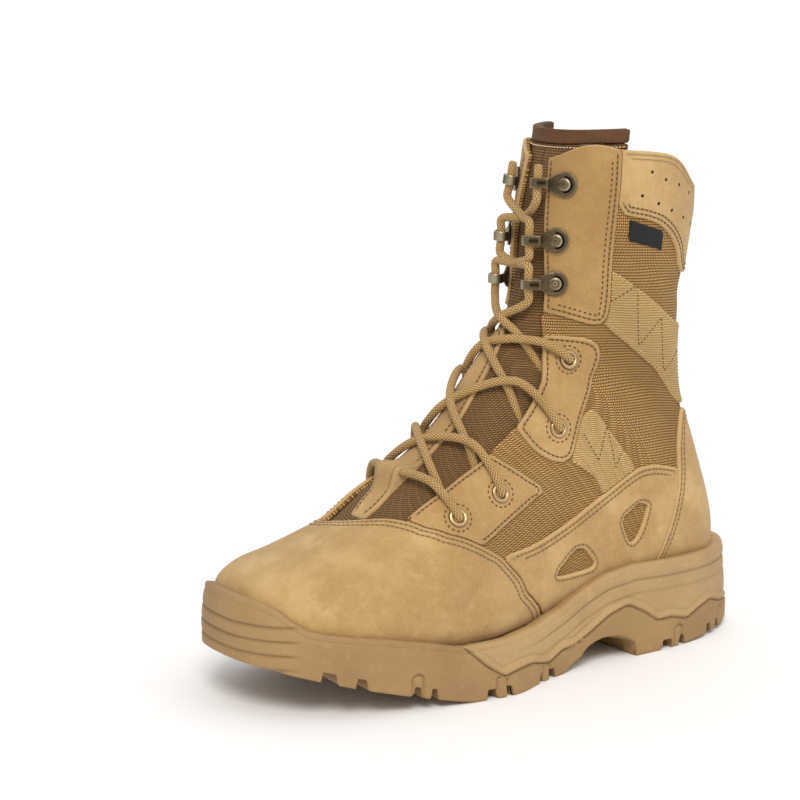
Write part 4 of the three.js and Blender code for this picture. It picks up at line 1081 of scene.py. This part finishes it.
# Each toe rib's valley is dented and given painted shade.
for rib in TOE_RIBS:
    valley = rib_fade * bump_at(wall_z, rib * SIDE_HEIGHT, 0.75)
    flare -= 1.2 * valley
    wall_groove_shade += 0.45 * valley
run = np.arange(WALL_COUNT) * np.linalg.norm(rim_line[1] - rim_line[0])
hoops = [(lug[0] + lug[3], 1) for lug in OUTER_LUGS if lug[1] < STUD_LUG / 2]
hoops += [(lug[0] + lug[3], -1) for lug in INNER_LUGS if lug[1] < STUD_LUG / 2]
for place, side in hoops:
    on_side = np.where(np.sign(rim_line[:, 1]) == side, np.abs(rim_x - place * LENGTH), FAR)
    nearest = np.argmin(on_side)
    aside = (run - run[nearest])[None, :]
    rise = np.maximum(0, wall_z - tread_rise(place * LENGTH) - (HOOP_HEIGHT - HOOP_HALF))
    ring_gap = np.sqrt(aside**2 + rise**2) - HOOP_HALF
    flare -= 1.5 * bump_at(ring_gap, 0.3, 0.65) * (over_part < -0.6)

inset_rings = [(-1.6, 0.0), (-0.5, 0.0)]
wall = []
for back, up in inset_rings:
    side = rim_line + rim_out * (flare[0] + back)[:, None]
    wall.append(np.column_stack([side, wall_bottom + up]))
for z, out in zip(wall_z, flare):
    wall.append(np.column_stack([rim_line + rim_out * out[:, None], z]))
for back, up in ((-0.3, 0.45), (-1.0, 0.75), (-2.0, 0.8), (-5.0, 0.3), (-9.0, -1.5)):
    wall.append(np.column_stack([rim_line + rim_out * (flare[-1] + back)[:, None], wall_z[-1] + up]))
wall = np.stack(wall)
levels, count = wall.shape[:2]
wall_triangles = quads(levels, count)
flat_wall = wall.reshape(-1, 3)
low_part = parting_height(flat_wall[:, 0]) + 0.1 - flat_wall[:, 2]
wall_groove_shade = np.concatenate([np.zeros((2, count)), wall_groove_shade, np.zeros((5, count))]).ravel()
wall_data = np.column_stack([flat_wall, wall_groove_shade])

TREAD_STEP = 0.75
grid_x = np.arange(-6, LENGTH + 6, TREAD_STEP)
grid_y = np.arange(-62, 66, TREAD_STEP)
plan = np.stack(np.meshgrid(grid_x, grid_y, indexing="ij"), axis=-1)
tread_edge = even(rim_line + rim_out * (flare[0] - 0.9)[:, None], 300, closed=True)
tread_inside = inside_distance(plan, tread_edge)
tread_z, in_groove = underside(plan)
top_side = 1 - in_groove
for x, y in stud_places:
    far = np.linalg.norm(plan - (x, y), axis=-1)
    tread_z += top_side * (1.1 * bump_at(far, 3.3, 0.7) + 0.7 * bump_at(far, 0, 1.1))
    bite = np.abs(far - 9.5) + 3 * np.maximum(0, np.abs(plan[..., 1] - y) - 5)
    tread_z += top_side * 1.3 * bump_at(np.where(plan[..., 0] > x, bite, 9), 0, 0.8)
for x, y, size, turn in BLOCKS:
    angle = 2 * np.pi * turn
    direction = np.array([math.cos(angle), math.sin(angle)])
    away = plan - np.array([x * LENGTH, y * BALL_WIDTH])
    u, v = away @ direction, away @ np.array([-direction[1], direction[0]])
    kink = np.abs(v - 1.6 * np.sign(u) * np.minimum(np.abs(u), 2.5))
    tread_z += top_side * 1.6 * bump_at(kink, 0, 0.7) * (np.linalg.norm(away, axis=-1) < size * LENGTH * 0.8)
plate = np.abs(plan - (0.372 * LENGTH, 0)) - (7.5, 13)
plate_gap = np.linalg.norm(np.maximum(plate, 0), axis=-1) + np.minimum(np.max(plate, axis=-1), 0) - 4
tread_z -= 0.9 * bump_at(plate_gap, 0, 0.8)
tread_triangles = quads(*plan.shape[:2], closed=False)[:, ::-1]
# The groove share is kept as the groove attribute, which the rubber turns into painted shade and a finer
# grain.
tread_data = np.concatenate([plan, tread_z[..., None], in_groove[..., None]], axis=-1).reshape(-1, 4)
tread_data, tread_triangles, edges = clip(tread_data, tread_triangles, tread_inside.ravel())
tread_data, tread_triangles, edges = compact(tread_data, tread_triangles, edges)


def rubber(dark, tint, pale):
    """Moulded rubber: faint flow marks, rubbed lighter spots, a fine bloom, and painted shade with a finer
    grain in the grooves.
    """

    def build(field):
        flow = field.noise(24, 3, 0.55)
        spots = field.noise(260, 3, 0.6)
        grain = field.noise(2400, 2, 0.6)
        groove = field.attribute("groove")
        base = (flow.above(0.3, 0.7) * 0.6 + spots * 0.5 - 0.1).mix(dark, tint)
        base = (spots.above(0.6, 0.8) * 0.35).mix(base, pale)
        # Painted shade in the grooves of the tread and the side wall, from the groove attribute.
        base = (groove * 0.5).mix(base, (0.13, 0.06, 0.022))
        height = grain * 0.5 + spots * 0.4 + grain * groove
        return {"Base Color": base, "Normal": field.bump(height, 0.00022), "Roughness": 0.52 + spots * 0.2}

    return build


outsole_rubber = material(
    "outsole rubber",
    rubber((0.285, 0.162, 0.06), (0.39, 0.24, 0.095), (0.51, 0.34, 0.158)),
)
midsole_rubber = material(
    "midsole rubber",
    rubber((0.37, 0.228, 0.096), (0.48, 0.315, 0.14), (0.6, 0.42, 0.212)),
)
outsole_wall = compact(*clip(wall_data, wall_triangles, low_part))
midsole_wall = compact(*clip(wall_data, wall_triangles, -low_part))
outsole_data = np.concatenate([outsole_wall[0], tread_data])
outsole_faces = np.concatenate([outsole_wall[1], tread_triangles + len(outsole_wall[0])])
for node, data, faces, paint in (
    ("outsole", outsole_data, outsole_faces, outsole_rubber),
    ("midsole", *midsole_wall[:2], midsole_rubber),
):
    grooves = {"groove": data[:, 3]}
    mesh_piece(f"{node}_moulding", data[:, :3], faces, paint, node, attributes=grooves)

# Laces: one round braided cord. It bars the lowest eyelets, crosses the tongue three times, goes
# down into an eyelet or under an edge each time, and then runs up through the hooks.
LACE = 4.2
HOOK_REACH, HOOK_SHEET, HOOK_WIDTH = 13.0, 1.2, 5.0
ON_LEATHER = LACE / 2 + 2 * GAP
FLANGE_RISE = 1.5 * GAP
ON_FLANGE = ON_LEATHER + FLANGE_RISE + 1
OVER_TONGUE, UNDER_EDGE = 1.2, -0.8
EYELETS = ((7.7, 0.36), (9.1, 0.345), (11.5, 0.34), (13.6, 0.375))
HOOKS = ((16.2, 0.41), (18, 0.415), (21, 0.42))
LACE_BAR = (
    (7.7, 0.36, ON_FLANGE), (7.5, 0.42, ON_LEATHER), (7.2, 0.5, OVER_TONGUE),
    (7.5, 0.58, ON_LEATHER), (7.7, 0.64, ON_FLANGE),
)
LACE_CROSSINGS = (
    ((7.7, 0.44, UNDER_EDGE), (8.1, 0.5, OVER_TONGUE), (8.9, 0.585, ON_LEATHER), (9.1, 0.655, ON_FLANGE)),
    ((8.9, 0.445, UNDER_EDGE), (9.4, 0.5, OVER_TONGUE), (11, 0.59, ON_LEATHER), (11.5, 0.66, ON_FLANGE)),
    ((10.8, 0.445, UNDER_EDGE), (11.4, 0.5, OVER_TONGUE), (13, 0.585, ON_LEATHER), (13.6, 0.625, ON_FLANGE)),
)
HOOK_CROSSINGS = ((12.9, 0.5, OVER_TONGUE), (16, 0.5, OVER_TONGUE), (18.4, 0.5, OVER_TONGUE))
HOOK_CORD_FROM = (12.6, 0.46, UNDER_EDGE)
CHANNEL = 2 * GAP + HOOK_SHEET + LACE / 2 + 0.5
PASSING = HOOK_WIDTH / 2 + 1.4 * LACE
CORD_SIDES = 16
CORD_STEP = 0.6


def over(side, place):
    """A point over the outer face, mirrored on the inner side."""
    row, turn, height = place
    turn = turn if side > 0 else 1 - turn
    return face_point(row, turn) + face_normal(row, turn) * height


def seat_frame(place, side):
    """The place of an eyelet or hook: its centre, inward to the throat, along its edge and out."""
    row, turn = place
    turn = turn if side > 0 else 1 - turn
    out = face_normal(row, turn)
    inward = unit(np.cross(out, [0, 0, side]))
    return face_point(row, turn), np.stack([inward, np.cross(out, inward), out])


def into_eyelet(place, side):
    """The cord turns down through an eyelet and stops behind the wall."""
    centre, axes = seat_frame(place, side)
    steps = ((0.6, -0.3), (-1.6, -0.4), (-4.2, -0.3))
    return [centre + axes[2] * height + axes[0] * inward for height, inward in steps]


def under_edge(place, side):
    """Where the cord comes from under the throat's edge."""
    row, turn, _ = place
    hidden = ((-0.2, -0.075, -5.8), (-0.13, -0.05, -4.6), (-0.06, -0.022, -2.2))
    return [over(side, (row + up, turn + out, height)) for up, out, height in hidden]


def open_curve(points, step=CORD_STEP):
    """A smooth curve through points, sampled evenly."""
    points = np.asarray(points, float)
    ends = 2 * points[[0, -1]] - points[[1, -2]]
    padded = np.concatenate([ends[:1], points, ends[1:]])
    curve = closed_curve(padded, 24)[24 : -2 * 24]
    curve = np.concatenate([curve, points[-1:]])
    run = np.linalg.norm(np.diff(curve, axis=0), axis=1).sum()
    return even(curve, max(3, int(run / step)))


def end_caps(rows, columns, used):
    """Fans that close the first and the last ring of a tube."""
    last = (rows - 1) * columns
    fans = [[0, k + 1, k] for k in range(1, used - 1)]
    return np.array(fans + [[last, last + k, last + k + 1] for k in range(1, used - 1)])


DOME = ((0.35, 0.75), (0.55, 0.3))  # how far past the end, and how wide, in radii


def tube(curve, radius, sides=CORD_SIDES):
    """A round tube along a curve, closed by domed ends, with its turn and length as uv."""
    ahead = unit(np.gradient(curve, axis=0))
    side = np.cross(ahead[0], [0.3, 0.2, 0.9])
    frames = []
    for direction in ahead:
        side = unit(side - direction * (side @ direction))
        frames.append((side, np.cross(direction, side)))
    first, second = (np.array(f) for f in zip(*frames))
    run = np.concatenate([[0], np.cumsum(np.linalg.norm(np.diff(curve, axis=0), axis=1))])
    rings = [(0, -past, wide) for past, wide in DOME[::-1]] + [(i, 0, 1) for i in range(len(curve))]
    rings += [(-1, past, wide) for past, wide in DOME]
    angle = 2 * np.pi * np.arange(sides + 1) / sides
    points, uvs = [], []
    for i, off, scale in rings:
        circle = np.cos(angle)[:, None] * first[i] + np.sin(angle)[:, None] * second[i]
        points.append(curve[i] + ahead[i] * off * radius + circle * radius * scale)
        uvs.append(np.stack([angle / (2 * np.pi), np.full(sides + 1, run[i] + off * radius)], axis=1))
    faces = quads(len(rings), sides + 1, closed=False)[:, ::-1]
    faces = np.concatenate([faces, end_caps(len(rings), sides + 1, sides)])
    return np.concatenate(points), faces, np.concatenate(uvs)


def join(parts):
    """Several point and face arrays as one."""
    starts = np.cumsum([0] + [len(part[0]) for part in parts])
    joined = [np.concatenate([part[k] for part in parts]) for k in range(len(parts[0])) if k != 1]
    faces = np.concatenate([part[1] + start for part, start in zip(parts, starts)])
    return [joined[0], faces, *joined[1:]]


STRANDS, BRAID_PITCH = 8, 2.1  # strands round the cord, and the length of one crossing


def braided(field):
    """A round braid: two sets of strands that wind opposite ways and pass over each other, with painted
    shade between the strands and a painted highlight on their tops.
    """
    turn, run = field.across_and_along()
    turn, run = turn * STRANDS, run / BRAID_PITCH
    right, left = turn + run, run - turn
    parity = ((right.floor() + left.floor()) * 0.5).fraction() * 2
    one = (right.fraction() * math.pi).sine()
    other = (left.fraction() * math.pi).sine()
    height = one * (0.5 + other * 0.5) * parity + other * (0.5 + one * 0.5) * (1 - parity)
    fibres = field.noise(3200, 3, 0.65)
    dirt = field.noise(90, 3)
    # Painted shade: the gaps between strands go towards the dark brown.
    shade = height.above(0.1, 0.85) * 0.85 + fibres * 0.3 - 0.1
    base = shade.mix((0.2, 0.1, 0.024), (0.68, 0.42, 0.14))
    # Painted highlight on the fibres of the strand tops.
    base = ((fibres * height).above(0.4, 0.75) * 0.5).mix(base, (0.74, 0.51, 0.23))
    base = (dirt.above(0.5, 0.75) * 0.25).mix(base, (0.27, 0.155, 0.05))
    normal = field.bump(height + fibres * 0.3, 0.0005)
    return {"Base Color": base, "Normal": normal, "Roughness": 0.85 - height * 0.2}


cord_braid = material("cord braid", braided, Sheen_Weight=0.15)


def cord_piece(name, curves, node):
    points, faces, uv = join([tube(curve, LACE / 2) for curve in curves])
    mesh_piece(name, points, faces, cord_braid, node, uv)


CORD_APART = 0.5  # the two cords of a crossing lie this far over and under the middle
bar = [over(1, place) for place in LACE_BAR]
bar = into_eyelet(EYELETS[0], 1)[::-1] + bar[1:-1] + into_eyelet(EYELETS[0], -1)
cord_piece("lace_bar_cord", [open_curve(bar)], "lace_bar")
for i, places in enumerate(LACE_CROSSINGS):
    strands = []
    for side in (1, -1):
        lift = CORD_APART * side
        lifted = [over(side, (row, turn, up + lift * (turn == 0.5))) for row, turn, up in places[:-1]]
        eyelet = into_eyelet(EYELETS[i + 1], -side)
        strands.append(open_curve(under_edge(places[0], side) + lifted + eyelet))
    cord_piece(f"lace_crossing_{i + 1}_cord", strands, f"lace_crossing_{i + 1}")
strands = []
for side in (1, -1):
    points = under_edge(HOOK_CORD_FROM, side) + [over(side, HOOK_CORD_FROM)]
    for i, place in enumerate(HOOKS):
        hook_side = -side if i % 2 == 0 else side
        centre, axes = seat_frame(place, hook_side)
        row, turn, height = HOOK_CROSSINGS[i]
        points.append(over(side, (row, turn, height + 0.6 * side)))
        for share in (1, 0.4, -0.4, -1):
            points.append(centre + np.array([HOOK_REACH, PASSING * hook_side * share, CHANNEL]) @ axes)
    strands.append(open_curve(points))
cord_piece("lace_hooks_cord", strands, "lace_hooks")

# Eyelets: bronze-coloured metal, pressed through a hole in the suede and canvas and rolled over into a
# ring at the front.
EYELET_HOLE = 2.6


def lathe(profile, segments, centre, axes):
    """A ring or dome from a profile of radius and height, with a third value for each profile point, for the
    metal's wear and painted light.
    """
    profile = np.asarray(profile, float)
    angle = 2 * np.pi * np.arange(segments) / segments
    radius, height = profile[:, None, 0], profile[:, None, 1]
    local = np.stack(np.broadcast_arrays(radius * np.cos(angle), radius * np.sin(angle), height), axis=-1)
    shade = np.repeat(profile[:, 2], segments)
    return centre + local.reshape(-1, 3) @ axes, quads(len(profile), segments), shade


def metal_worn_and_lit(dark, tint, bright):
    """Plated metal, dark in its hollows and bright on its edges: patina and rubbed wear on the hooks,
    painted shade and a painted highlight on the eyelets.
    """

    def build(field):
        wear_and_highlight = field.attribute("wear_and_highlight")
        blotch = field.noise(420, 4, 0.6)
        scratch = field.noise(1600, 3, 0.7)
        base = (wear_and_highlight.above(0.0, 0.5) * 0.8 + blotch * 0.3 - 0.1).mix(dark, tint)
        base = (wear_and_highlight.above(0.55, 1.0) * (0.55 + scratch * 0.6)).mix(base, bright)
        rough = 0.42 - wear_and_highlight * 0.16 + scratch * 0.15
        return {"Base Color": base, "Normal": field.bump(scratch + blotch, 0.00008), "Roughness": rough}

    return build


bright_bronze = material(
    "bright bronze",
    metal_worn_and_lit((0.05, 0.026, 0.01), (0.27, 0.155, 0.06), (0.66, 0.47, 0.26)),
    Metallic=1.0,
)
# Eyelet profile: radius, height and a value that paints shade inside the barrel and on the flange, and a
# highlight on the top of the roll.
EYELET_PROFILE = [(EYELET_HOLE, -CANVAS_FACE - CANVAS, 0.0), (EYELET_HOLE, -0.4, 0.2)]
ROLL_MIDDLE, ROLL_WIDE, ROLL_HIGH = 3.75, 1.15, 0.95
for angle in np.linspace(0, math.pi, 13):
    rise = math.sin(angle)
    radius = ROLL_MIDDLE - ROLL_WIDE * math.cos(angle)
    EYELET_PROFILE.append((radius, 0.1 + ROLL_HIGH * rise, 0.35 + 0.65 * rise))
EYELET_PROFILE += [(4.95, -0.3, 0.1)]


def metal_piece(name, node, side, points, faces, wear_and_highlight, paint):
    """A piece of metal trim: the inner side's frames are mirrored, so its faces are turned."""
    faces = faces[:, ::-1] if side < 0 else faces
    mesh_piece(name, points, faces, paint, node, attributes={"wear_and_highlight": wear_and_highlight})


for side_name, side in SIDES:
    for i, place in enumerate(EYELETS):
        node = f"eyelet_{side_name}_{i + 1}"
        ring = lathe(EYELET_PROFILE, 40, *seat_frame(place, side))
        metal_piece(f"{node}_ring", node, side, *ring, bright_bronze)

# Lace hooks: a teardrop plate of antique brass held by a domed rivet, whose strip bends back over
# the cord and ends in a square tip with a pressed oblong
antique_brass = material(
    "antique brass",
    metal_worn_and_lit((0.02, 0.013, 0.007), (0.17, 0.128, 0.072), (0.62, 0.54, 0.37)),
    Metallic=1.0,
)
PLATE_LOW = 2 * GAP
# From the rivet's dome over the groove round it to the plate's edge: radius, height and wear
PLATE_PROFILE = (
    (0, 2.95, 0.6), (1.2, 2.9, 0.6), (2.3, 2.75, 0.62), (2.9, 2.5, 0.85), (3.2, 2.1, 1.0),
    (3.35, 1.5, 0.3), (3.4, 0.95, 0.0), (4.05, 0.9, 0.0), (4.15, 1.35, 0.4), (4.25, 1.55, 0.6),
    (4.3, 1.6, 0.45), (5.4, 1.5, 0.35), (5.9, 1.45, 0.5), (6.15, 1.25, 0.85), (6.25, 0.9, 0.6),
    (6.15, 0.2, 0.1),
)
BEND_RADIUS = LACE / 2 + GAP + HOOK_SHEET / 2 + 0.2
STRIP_THICK = 1.05
TIP_LENGTH = 6.4
FLAT_STEPS, BEND_STEPS, TIP_STEPS = 44, 34, 28
STRIP_AROUND = 40


def strip_piece():
    """The strip in the hook's own frame: points, faces and how rubbed each point is."""
    low = PLATE_LOW + STRIP_THICK / 2
    line = [(x, low, 0.0) for x in np.linspace(0.5, HOOK_REACH, FLAT_STEPS)]
    for angle in np.linspace(-math.pi / 2, math.pi / 2, BEND_STEPS)[1:]:
        rise = BEND_RADIUS + BEND_RADIUS * math.sin(angle)
        line.append((HOOK_REACH + BEND_RADIUS * math.cos(angle), low + rise, 0.0))
    for x in np.linspace(0, TIP_LENGTH, TIP_STEPS)[1:]:
        line.append((HOOK_REACH - x, low + 2 * BEND_RADIUS - 0.02 * x * x, x))
    line = np.array(line)
    spine = line[:, :2]
    ahead = unit(np.gradient(spine, axis=0))
    up = np.stack([-ahead[:, 1], ahead[:, 0]], axis=1)
    half = 2.35 + 3.1 * (1 - smooth(line[:, 0], 2.5, 9.5)) * (np.arange(len(line)) < FLAT_STEPS)
    half = np.where(line[:, 2] > 0, 2.45, half)
    from_end = np.linspace(TIP_LENGTH, 0, TIP_STEPS)
    from_end = np.concatenate([np.full(len(line) - TIP_STEPS, FAR), from_end])
    corner = np.sqrt(np.maximum(0.02, 1 - np.clip(1 - from_end / 0.7, 0, 1) ** 2))
    angle = 2 * np.pi * np.arange(STRIP_AROUND) / STRIP_AROUND
    across = np.sign(np.cos(angle)) * np.abs(np.cos(angle)) ** 0.22
    thick = np.sign(np.sin(angle)) * np.abs(np.sin(angle)) ** 0.5
    points, wear_and_highlight = [], []
    for i in range(len(line)):
        y = across * (half[i] - 0.5 * (1 - corner[i]))
        z = thick * STRIP_THICK / 2 * corner[i]
        edge_wear = np.clip((np.abs(across) - 0.86) / 0.14, 0, 1)
        gap_x, gap_y = abs(line[i, 2] - 3.0) - 1.55, np.abs(y) - 0.15
        oblong = np.hypot(np.maximum(gap_x, 0), np.maximum(gap_y, 0)) - 0.75
        face_side = np.sin(angle) < 0
        press = (line[i, 2] > 0.3) * face_side * (1 - smooth(oblong, -0.25, 0.25))
        z = z + press * 0.3
        bend = bump_at(i, FLAT_STEPS + BEND_STEPS / 2, 14)
        rubbed = 0.5 * edge_wear + 0.45 * bend - 0.5 * press + 0.3 * bump_at(from_end[i], 0, 1.0)
        points.append(np.stack([spine[i, 0] + up[i, 0] * z, y, spine[i, 1] + up[i, 1] * z], axis=1))
        wear_and_highlight.append(np.clip(0.35 + rubbed, 0, 1))
    faces = quads(len(line), STRIP_AROUND)[:, ::-1]
    faces = np.concatenate([faces, end_caps(len(line), STRIP_AROUND, STRIP_AROUND)])
    return np.concatenate(points), faces, np.concatenate(wear_and_highlight)


strip_points, strip_faces, strip_worn = strip_piece()
for side_name, side in SIDES:
    for i, place in enumerate(HOOKS):
        centre, axes = seat_frame(place, side)
        node = f"hook_{side_name}_{i + 1}"
        plate = lathe(PLATE_PROFILE, 48, centre, axes)
        hook = join([(centre + strip_points @ axes, strip_faces, strip_worn), plate])
        metal_piece(f"{node}_brass", node, side, *hook, antique_brass)

# Tongue strap: a soft tan band sewn up the middle of the tongue, which keeps the tongue in place. Near
# its lower end it is left open as a loop, and the lowest cord runs through.
STRAP_INSET = 0.19
STRAP_ROWS = (6.0, 13.6)
STRAP_LOOP = (7.2, 7.0, 6.0)  # the row where it passes over the lowest cord, how high and how wide
strap_half = np.interp(ROWS, THROAT[:, 0], THROAT[:, 1]) * BALL_WIDTH - STRAP_INSET * BALL_WIDTH
on_strap = np.where(np.abs(TURNS - 0.5) < 0.2, strap_half - np.abs(FACE[..., 1]), -20)
strap_levels = [on_strap, (ROWS - STRAP_ROWS[0]) * LEVEL, (STRAP_ROWS[1] - ROWS) * LEVEL]
loop_place = face_point(STRAP_LOOP[0], 0.5)


def looped(data):
    """The strap stands up where it passes over the lowest cord."""
    away = np.linalg.norm((data[:, :3] - loop_place)[:, [0, 2]], axis=1)
    return STRAP_LOOP[1] * np.exp(-((away / STRAP_LOOP[2]) ** 2))


layer_piece(
    "tongue_strap_band",
    strap_levels,
    suede_single,
    "tongue_strap",
    TONGUE_FACE - GAP - SUEDE,
    TONGUE_FACE + 0.6,
    crown=looped,
    stitched=(0,),
)

# Stitches: thick bonded thread, lockstitched in rows beside the edges of the suede and the bands and
# round each eyelet. Each small round-ended bead is one stitch.
STITCH_PITCH, STITCH_LENGTH, THREAD = 2.6, 1.7, 0.42
BEAD_SIDES = 6


def chains(edges):
    """Runs of points from directed edges, open ones first and then closed ones."""
    after = dict(zip(edges[:, 0].tolist(), edges[:, 1].tolist()))
    reached = set(after.values())
    begins = [a for a in after if a not in reached]
    runs = []
    while after:
        run = [begins.pop(0) if begins else next(iter(after))]
        while run[-1] in after:
            run.append(after.pop(run[-1]))
        runs.append(run)
    return runs


def edge_rows(levels, distance, chosen):
    """Lines that run beside the chosen levels' edges, as places and outward directions."""
    data, _, edges = cut_face(levels, distance)
    keep = np.isin(np.round(data[:, KIND_COLUMN]), chosen)
    edges = edges[keep[edges[:, 0]] & keep[edges[:, 1]]]
    return [data[run, :6] for run in chains(edges) if len(run) > 3]


def stitch_places(lines, depth, pitch=STITCH_PITCH):
    """The middle, direction and outward of each stitch along the lines, so deep below the face."""
    places = []
    for line in lines:
        run = np.linalg.norm(np.diff(line[:, :3], axis=0), axis=1).sum()
        if run < 2 * pitch:
            continue
        points = even(line, int(run / pitch) * 2 + 1)
        middle, out = points[1::2, :3], unit(points[1::2, 3:])
        ahead = unit(points[2::2, :3] - points[:-1:2, :3])
        places.append(np.concatenate([middle - out * depth, ahead, out], axis=1))
    return np.concatenate(places) if places else np.zeros((0, 9))


def stitch_mesh(name, places, paint, length=STITCH_LENGTH, radius=THREAD):
    """All stitches of a piece as one mesh: each is a bead longer than it is wide."""
    half_bead = ((0.28, 0.95), (0.44, 0.55), (0.5, 0.0))
    stations = [(-along, wide) for along, wide in half_bead[::-1]] + [(0.0, 1.0), *half_bead]
    angle = 2 * np.pi * np.arange(BEAD_SIDES) / BEAD_SIDES
    bead = []
    for along, wide in stations:
        drop = 0.35 * radius * (1 - wide)
        rise = np.sin(angle) * wide * radius - drop
        level = np.full(BEAD_SIDES, along * length)
        bead.append(np.stack([level, np.cos(angle) * wide * radius, rise], axis=1))
    bead = np.concatenate(bead)
    faces = quads(len(stations), BEAD_SIDES)[:, ::-1]
    middle, ahead, out = places[:, :3], places[:, 3:6], places[:, 6:]
    side = unit(np.cross(out, ahead))
    axes = np.stack([ahead, side, out], axis=1)
    points = middle[:, None] + np.einsum("vk,nkc->nvc", bead, axes)
    starts = np.arange(len(places))[:, None, None] * len(bead)
    return mesh_piece(name, points.reshape(-1, 3), (faces[None] + starts).reshape(-1, 3), paint)


def thread(dark, tint):
    """Twisted thread."""

    def build(field):
        twist = field.noise(2600, 2, 0.6)
        return {"Base Color": twist.mix(dark, tint), "Normal": field.bump(twist, 0.0002)}

    return build


brown_thread = material("brown thread", thread((0.05, 0.023, 0.007), (0.17, 0.085, 0.028)), Roughness=0.8)
fawn_thread = material("fawn thread", thread((0.15, 0.075, 0.025), (0.32, 0.18, 0.068)), Roughness=0.8)
tan_thread = material("tan thread", thread((0.42, 0.25, 0.1), (0.66, 0.45, 0.22)), Roughness=0.7)
pale_thread = material("pale thread", thread((0.6, 0.43, 0.24), (0.86, 0.7, 0.48)), Roughness=0.7)

SEWN_DEPTH = 0.05
ONE_ROW, WINDOW_ROW, TWO_ROWS, TOP_STAY_ROW = 2.2, 1.9, (2.0, 4.4), 4.8  # from the edge
EYELET_ROW = 6.9  # round the eyelet's middle
rows, wide_rows = [], []
for _, side in SIDES:
    for name in ("eyestay_top", "eyestay_middle", "eyestay_lower"):
        rows += edge_rows(side_levels(name, side), ONE_ROW, (0, 2))
    rows += edge_rows(side_levels("eyestay_top", side), TOP_STAY_ROW, (0,))
    for distance in TWO_ROWS:
        wide_rows += edge_rows(side_levels("quarter", side), distance, (0,))
    wide_rows += edge_rows(side_levels("quarter", side), WINDOW_ROW, (8, 9))
for distance in TWO_ROWS:
    wide_rows += edge_rows([on_vamp, above_floor], distance, (0,))
    wide_rows += edge_rows(counter_levels, distance, (0,))
    rows += edge_rows(cuff_levels, distance, (0,))
rings = []
for _, side in SIDES:
    for place in EYELETS:
        centre, axes = seat_frame(place, side)
        angle = np.linspace(0, 2 * np.pi, 37)[:, None]
        circle = centre + EYELET_ROW * (np.cos(angle) * axes[0] + np.sin(angle) * axes[1])
        rings.append(np.concatenate([circle, np.repeat(axes[2:], len(circle), axis=0)], axis=1))


def onto_face(lines):
    """Lines near the face moved onto it."""
    flat_face, flat_out = FACE.reshape(-1, 3), OUT.reshape(-1, 3)
    settled = []
    for line in lines:
        near = np.argmin(np.sum((flat_face[None] - line[:, None, :3]) ** 2, axis=-1), axis=1)
        drop = np.sum((line[:, :3] - flat_face[near]) * flat_out[near], axis=1, keepdims=True)
        settled.append(np.concatenate([line[:, :3] - drop * flat_out[near], flat_out[near]], axis=1))
    return settled


stitch_mesh("stay_stitches", stitch_places(rows + onto_face(rings), SEWN_DEPTH), brown_thread)
stitch_mesh("seam_stitches", stitch_places(wide_rows, SEWN_DEPTH), fawn_thread)

band_rows = [line for levels in (upper_band, *lower_bands) for line in edge_rows(levels, 1.8, (0,))]
# The webbing is also sewn across in a zigzag, given by places in the side view
ZIGZAGS = (
    (
        (0.335, 0.71), (0.283, 0.745), (0.274, 0.622), (0.227, 0.675), (0.216, 0.565), (0.165, 0.6),
        (0.14, 0.5),
    ),
    ((0.386, 0.461), (0.362, 0.405), (0.336, 0.469), (0.325, 0.385), (0.305, 0.42)),
)


def nearest_on_side(place, side):
    """The face's point and outward direction nearest to a place in the side view, on one side."""
    away = np.linalg.norm(SIDE_VIEW - place, axis=-1) + np.where(side * FACE[..., 1] > 0, 0, FAR)
    near = np.unravel_index(np.argmin(away), away.shape)
    return FACE[near], OUT[near]


zigzags = []
for corners in ZIGZAGS:
    side_line = even(np.array(corners) * (LENGTH, FRONT_HEIGHT), 60)
    for _, side in SIDES:
        line = []
        for place in side_line:
            point, out = nearest_on_side(place, side)
            line.append([place[0], point[1], place[1], *out])
        zigzags.append(np.array(line))
stitch_mesh("band_stitches", stitch_places(band_rows, BAND_DEPTH), tan_thread)
zigzag_places = stitch_places(onto_face(zigzags), BAND_DEPTH, 2.2)
stitch_mesh("band_zigzags", zigzag_places, brown_thread, 1.35, 0.32)

binding_rows = edge_rows([on_tongue, under_height(TONGUE_TOP - 0.004)], 0.8, (1,))
binding_places = stitch_places(binding_rows, TONGUE_FACE, 2.1)
stitch_mesh("binding_stitches", binding_places, pale_thread, 1.3, 0.34)
strap_rows = edge_rows(strap_levels, ONE_ROW, (0,))
stitch_mesh("strap_stitches", stitch_places(strap_rows, TONGUE_FACE - GAP - SUEDE), brown_thread)

# Vent holes: two rows of five small round holes on each side, punched through the cuff's suede so that the
# collar can breathe. Each hole is drawn as a small dark disc on the suede: painted shade for its depth.
VENT_ROWS = (((0.268, 0.968), (0.145, 0.905)), ((0.285, 0.922), (0.158, 0.852)))
VENT_RADIUS = 0.75
# The discs' colour is painted shade standing in for the holes.
vent_hole_shade = material("vent hole shade", thread((0.02, 0.01, 0.004), (0.05, 0.025, 0.01)), Roughness=1.0)
vents = []
for start, end in VENT_ROWS:
    for share in np.linspace(0, 1, 5):
        target = (np.array(start) * (1 - share) + np.array(end) * share) * (LENGTH, FRONT_HEIGHT)
        for _, side in SIDES:
            point, out = nearest_on_side(target, side)
            first = unit(np.cross(out, [0.1, 0.2, 1.0]))
            axes = np.stack([first, np.cross(out, first), out])
            profile = [(VENT_RADIUS * 1.25, -0.05, 0), (VENT_RADIUS, 0.06, 0), (0.01, 0.03, 0)]
            vents.append(lathe(profile, 14, point, axes))
points, faces, _ = join(vents)
mesh_piece("cuff_vents", points, faces[:, ::-1], vent_hole_shade)
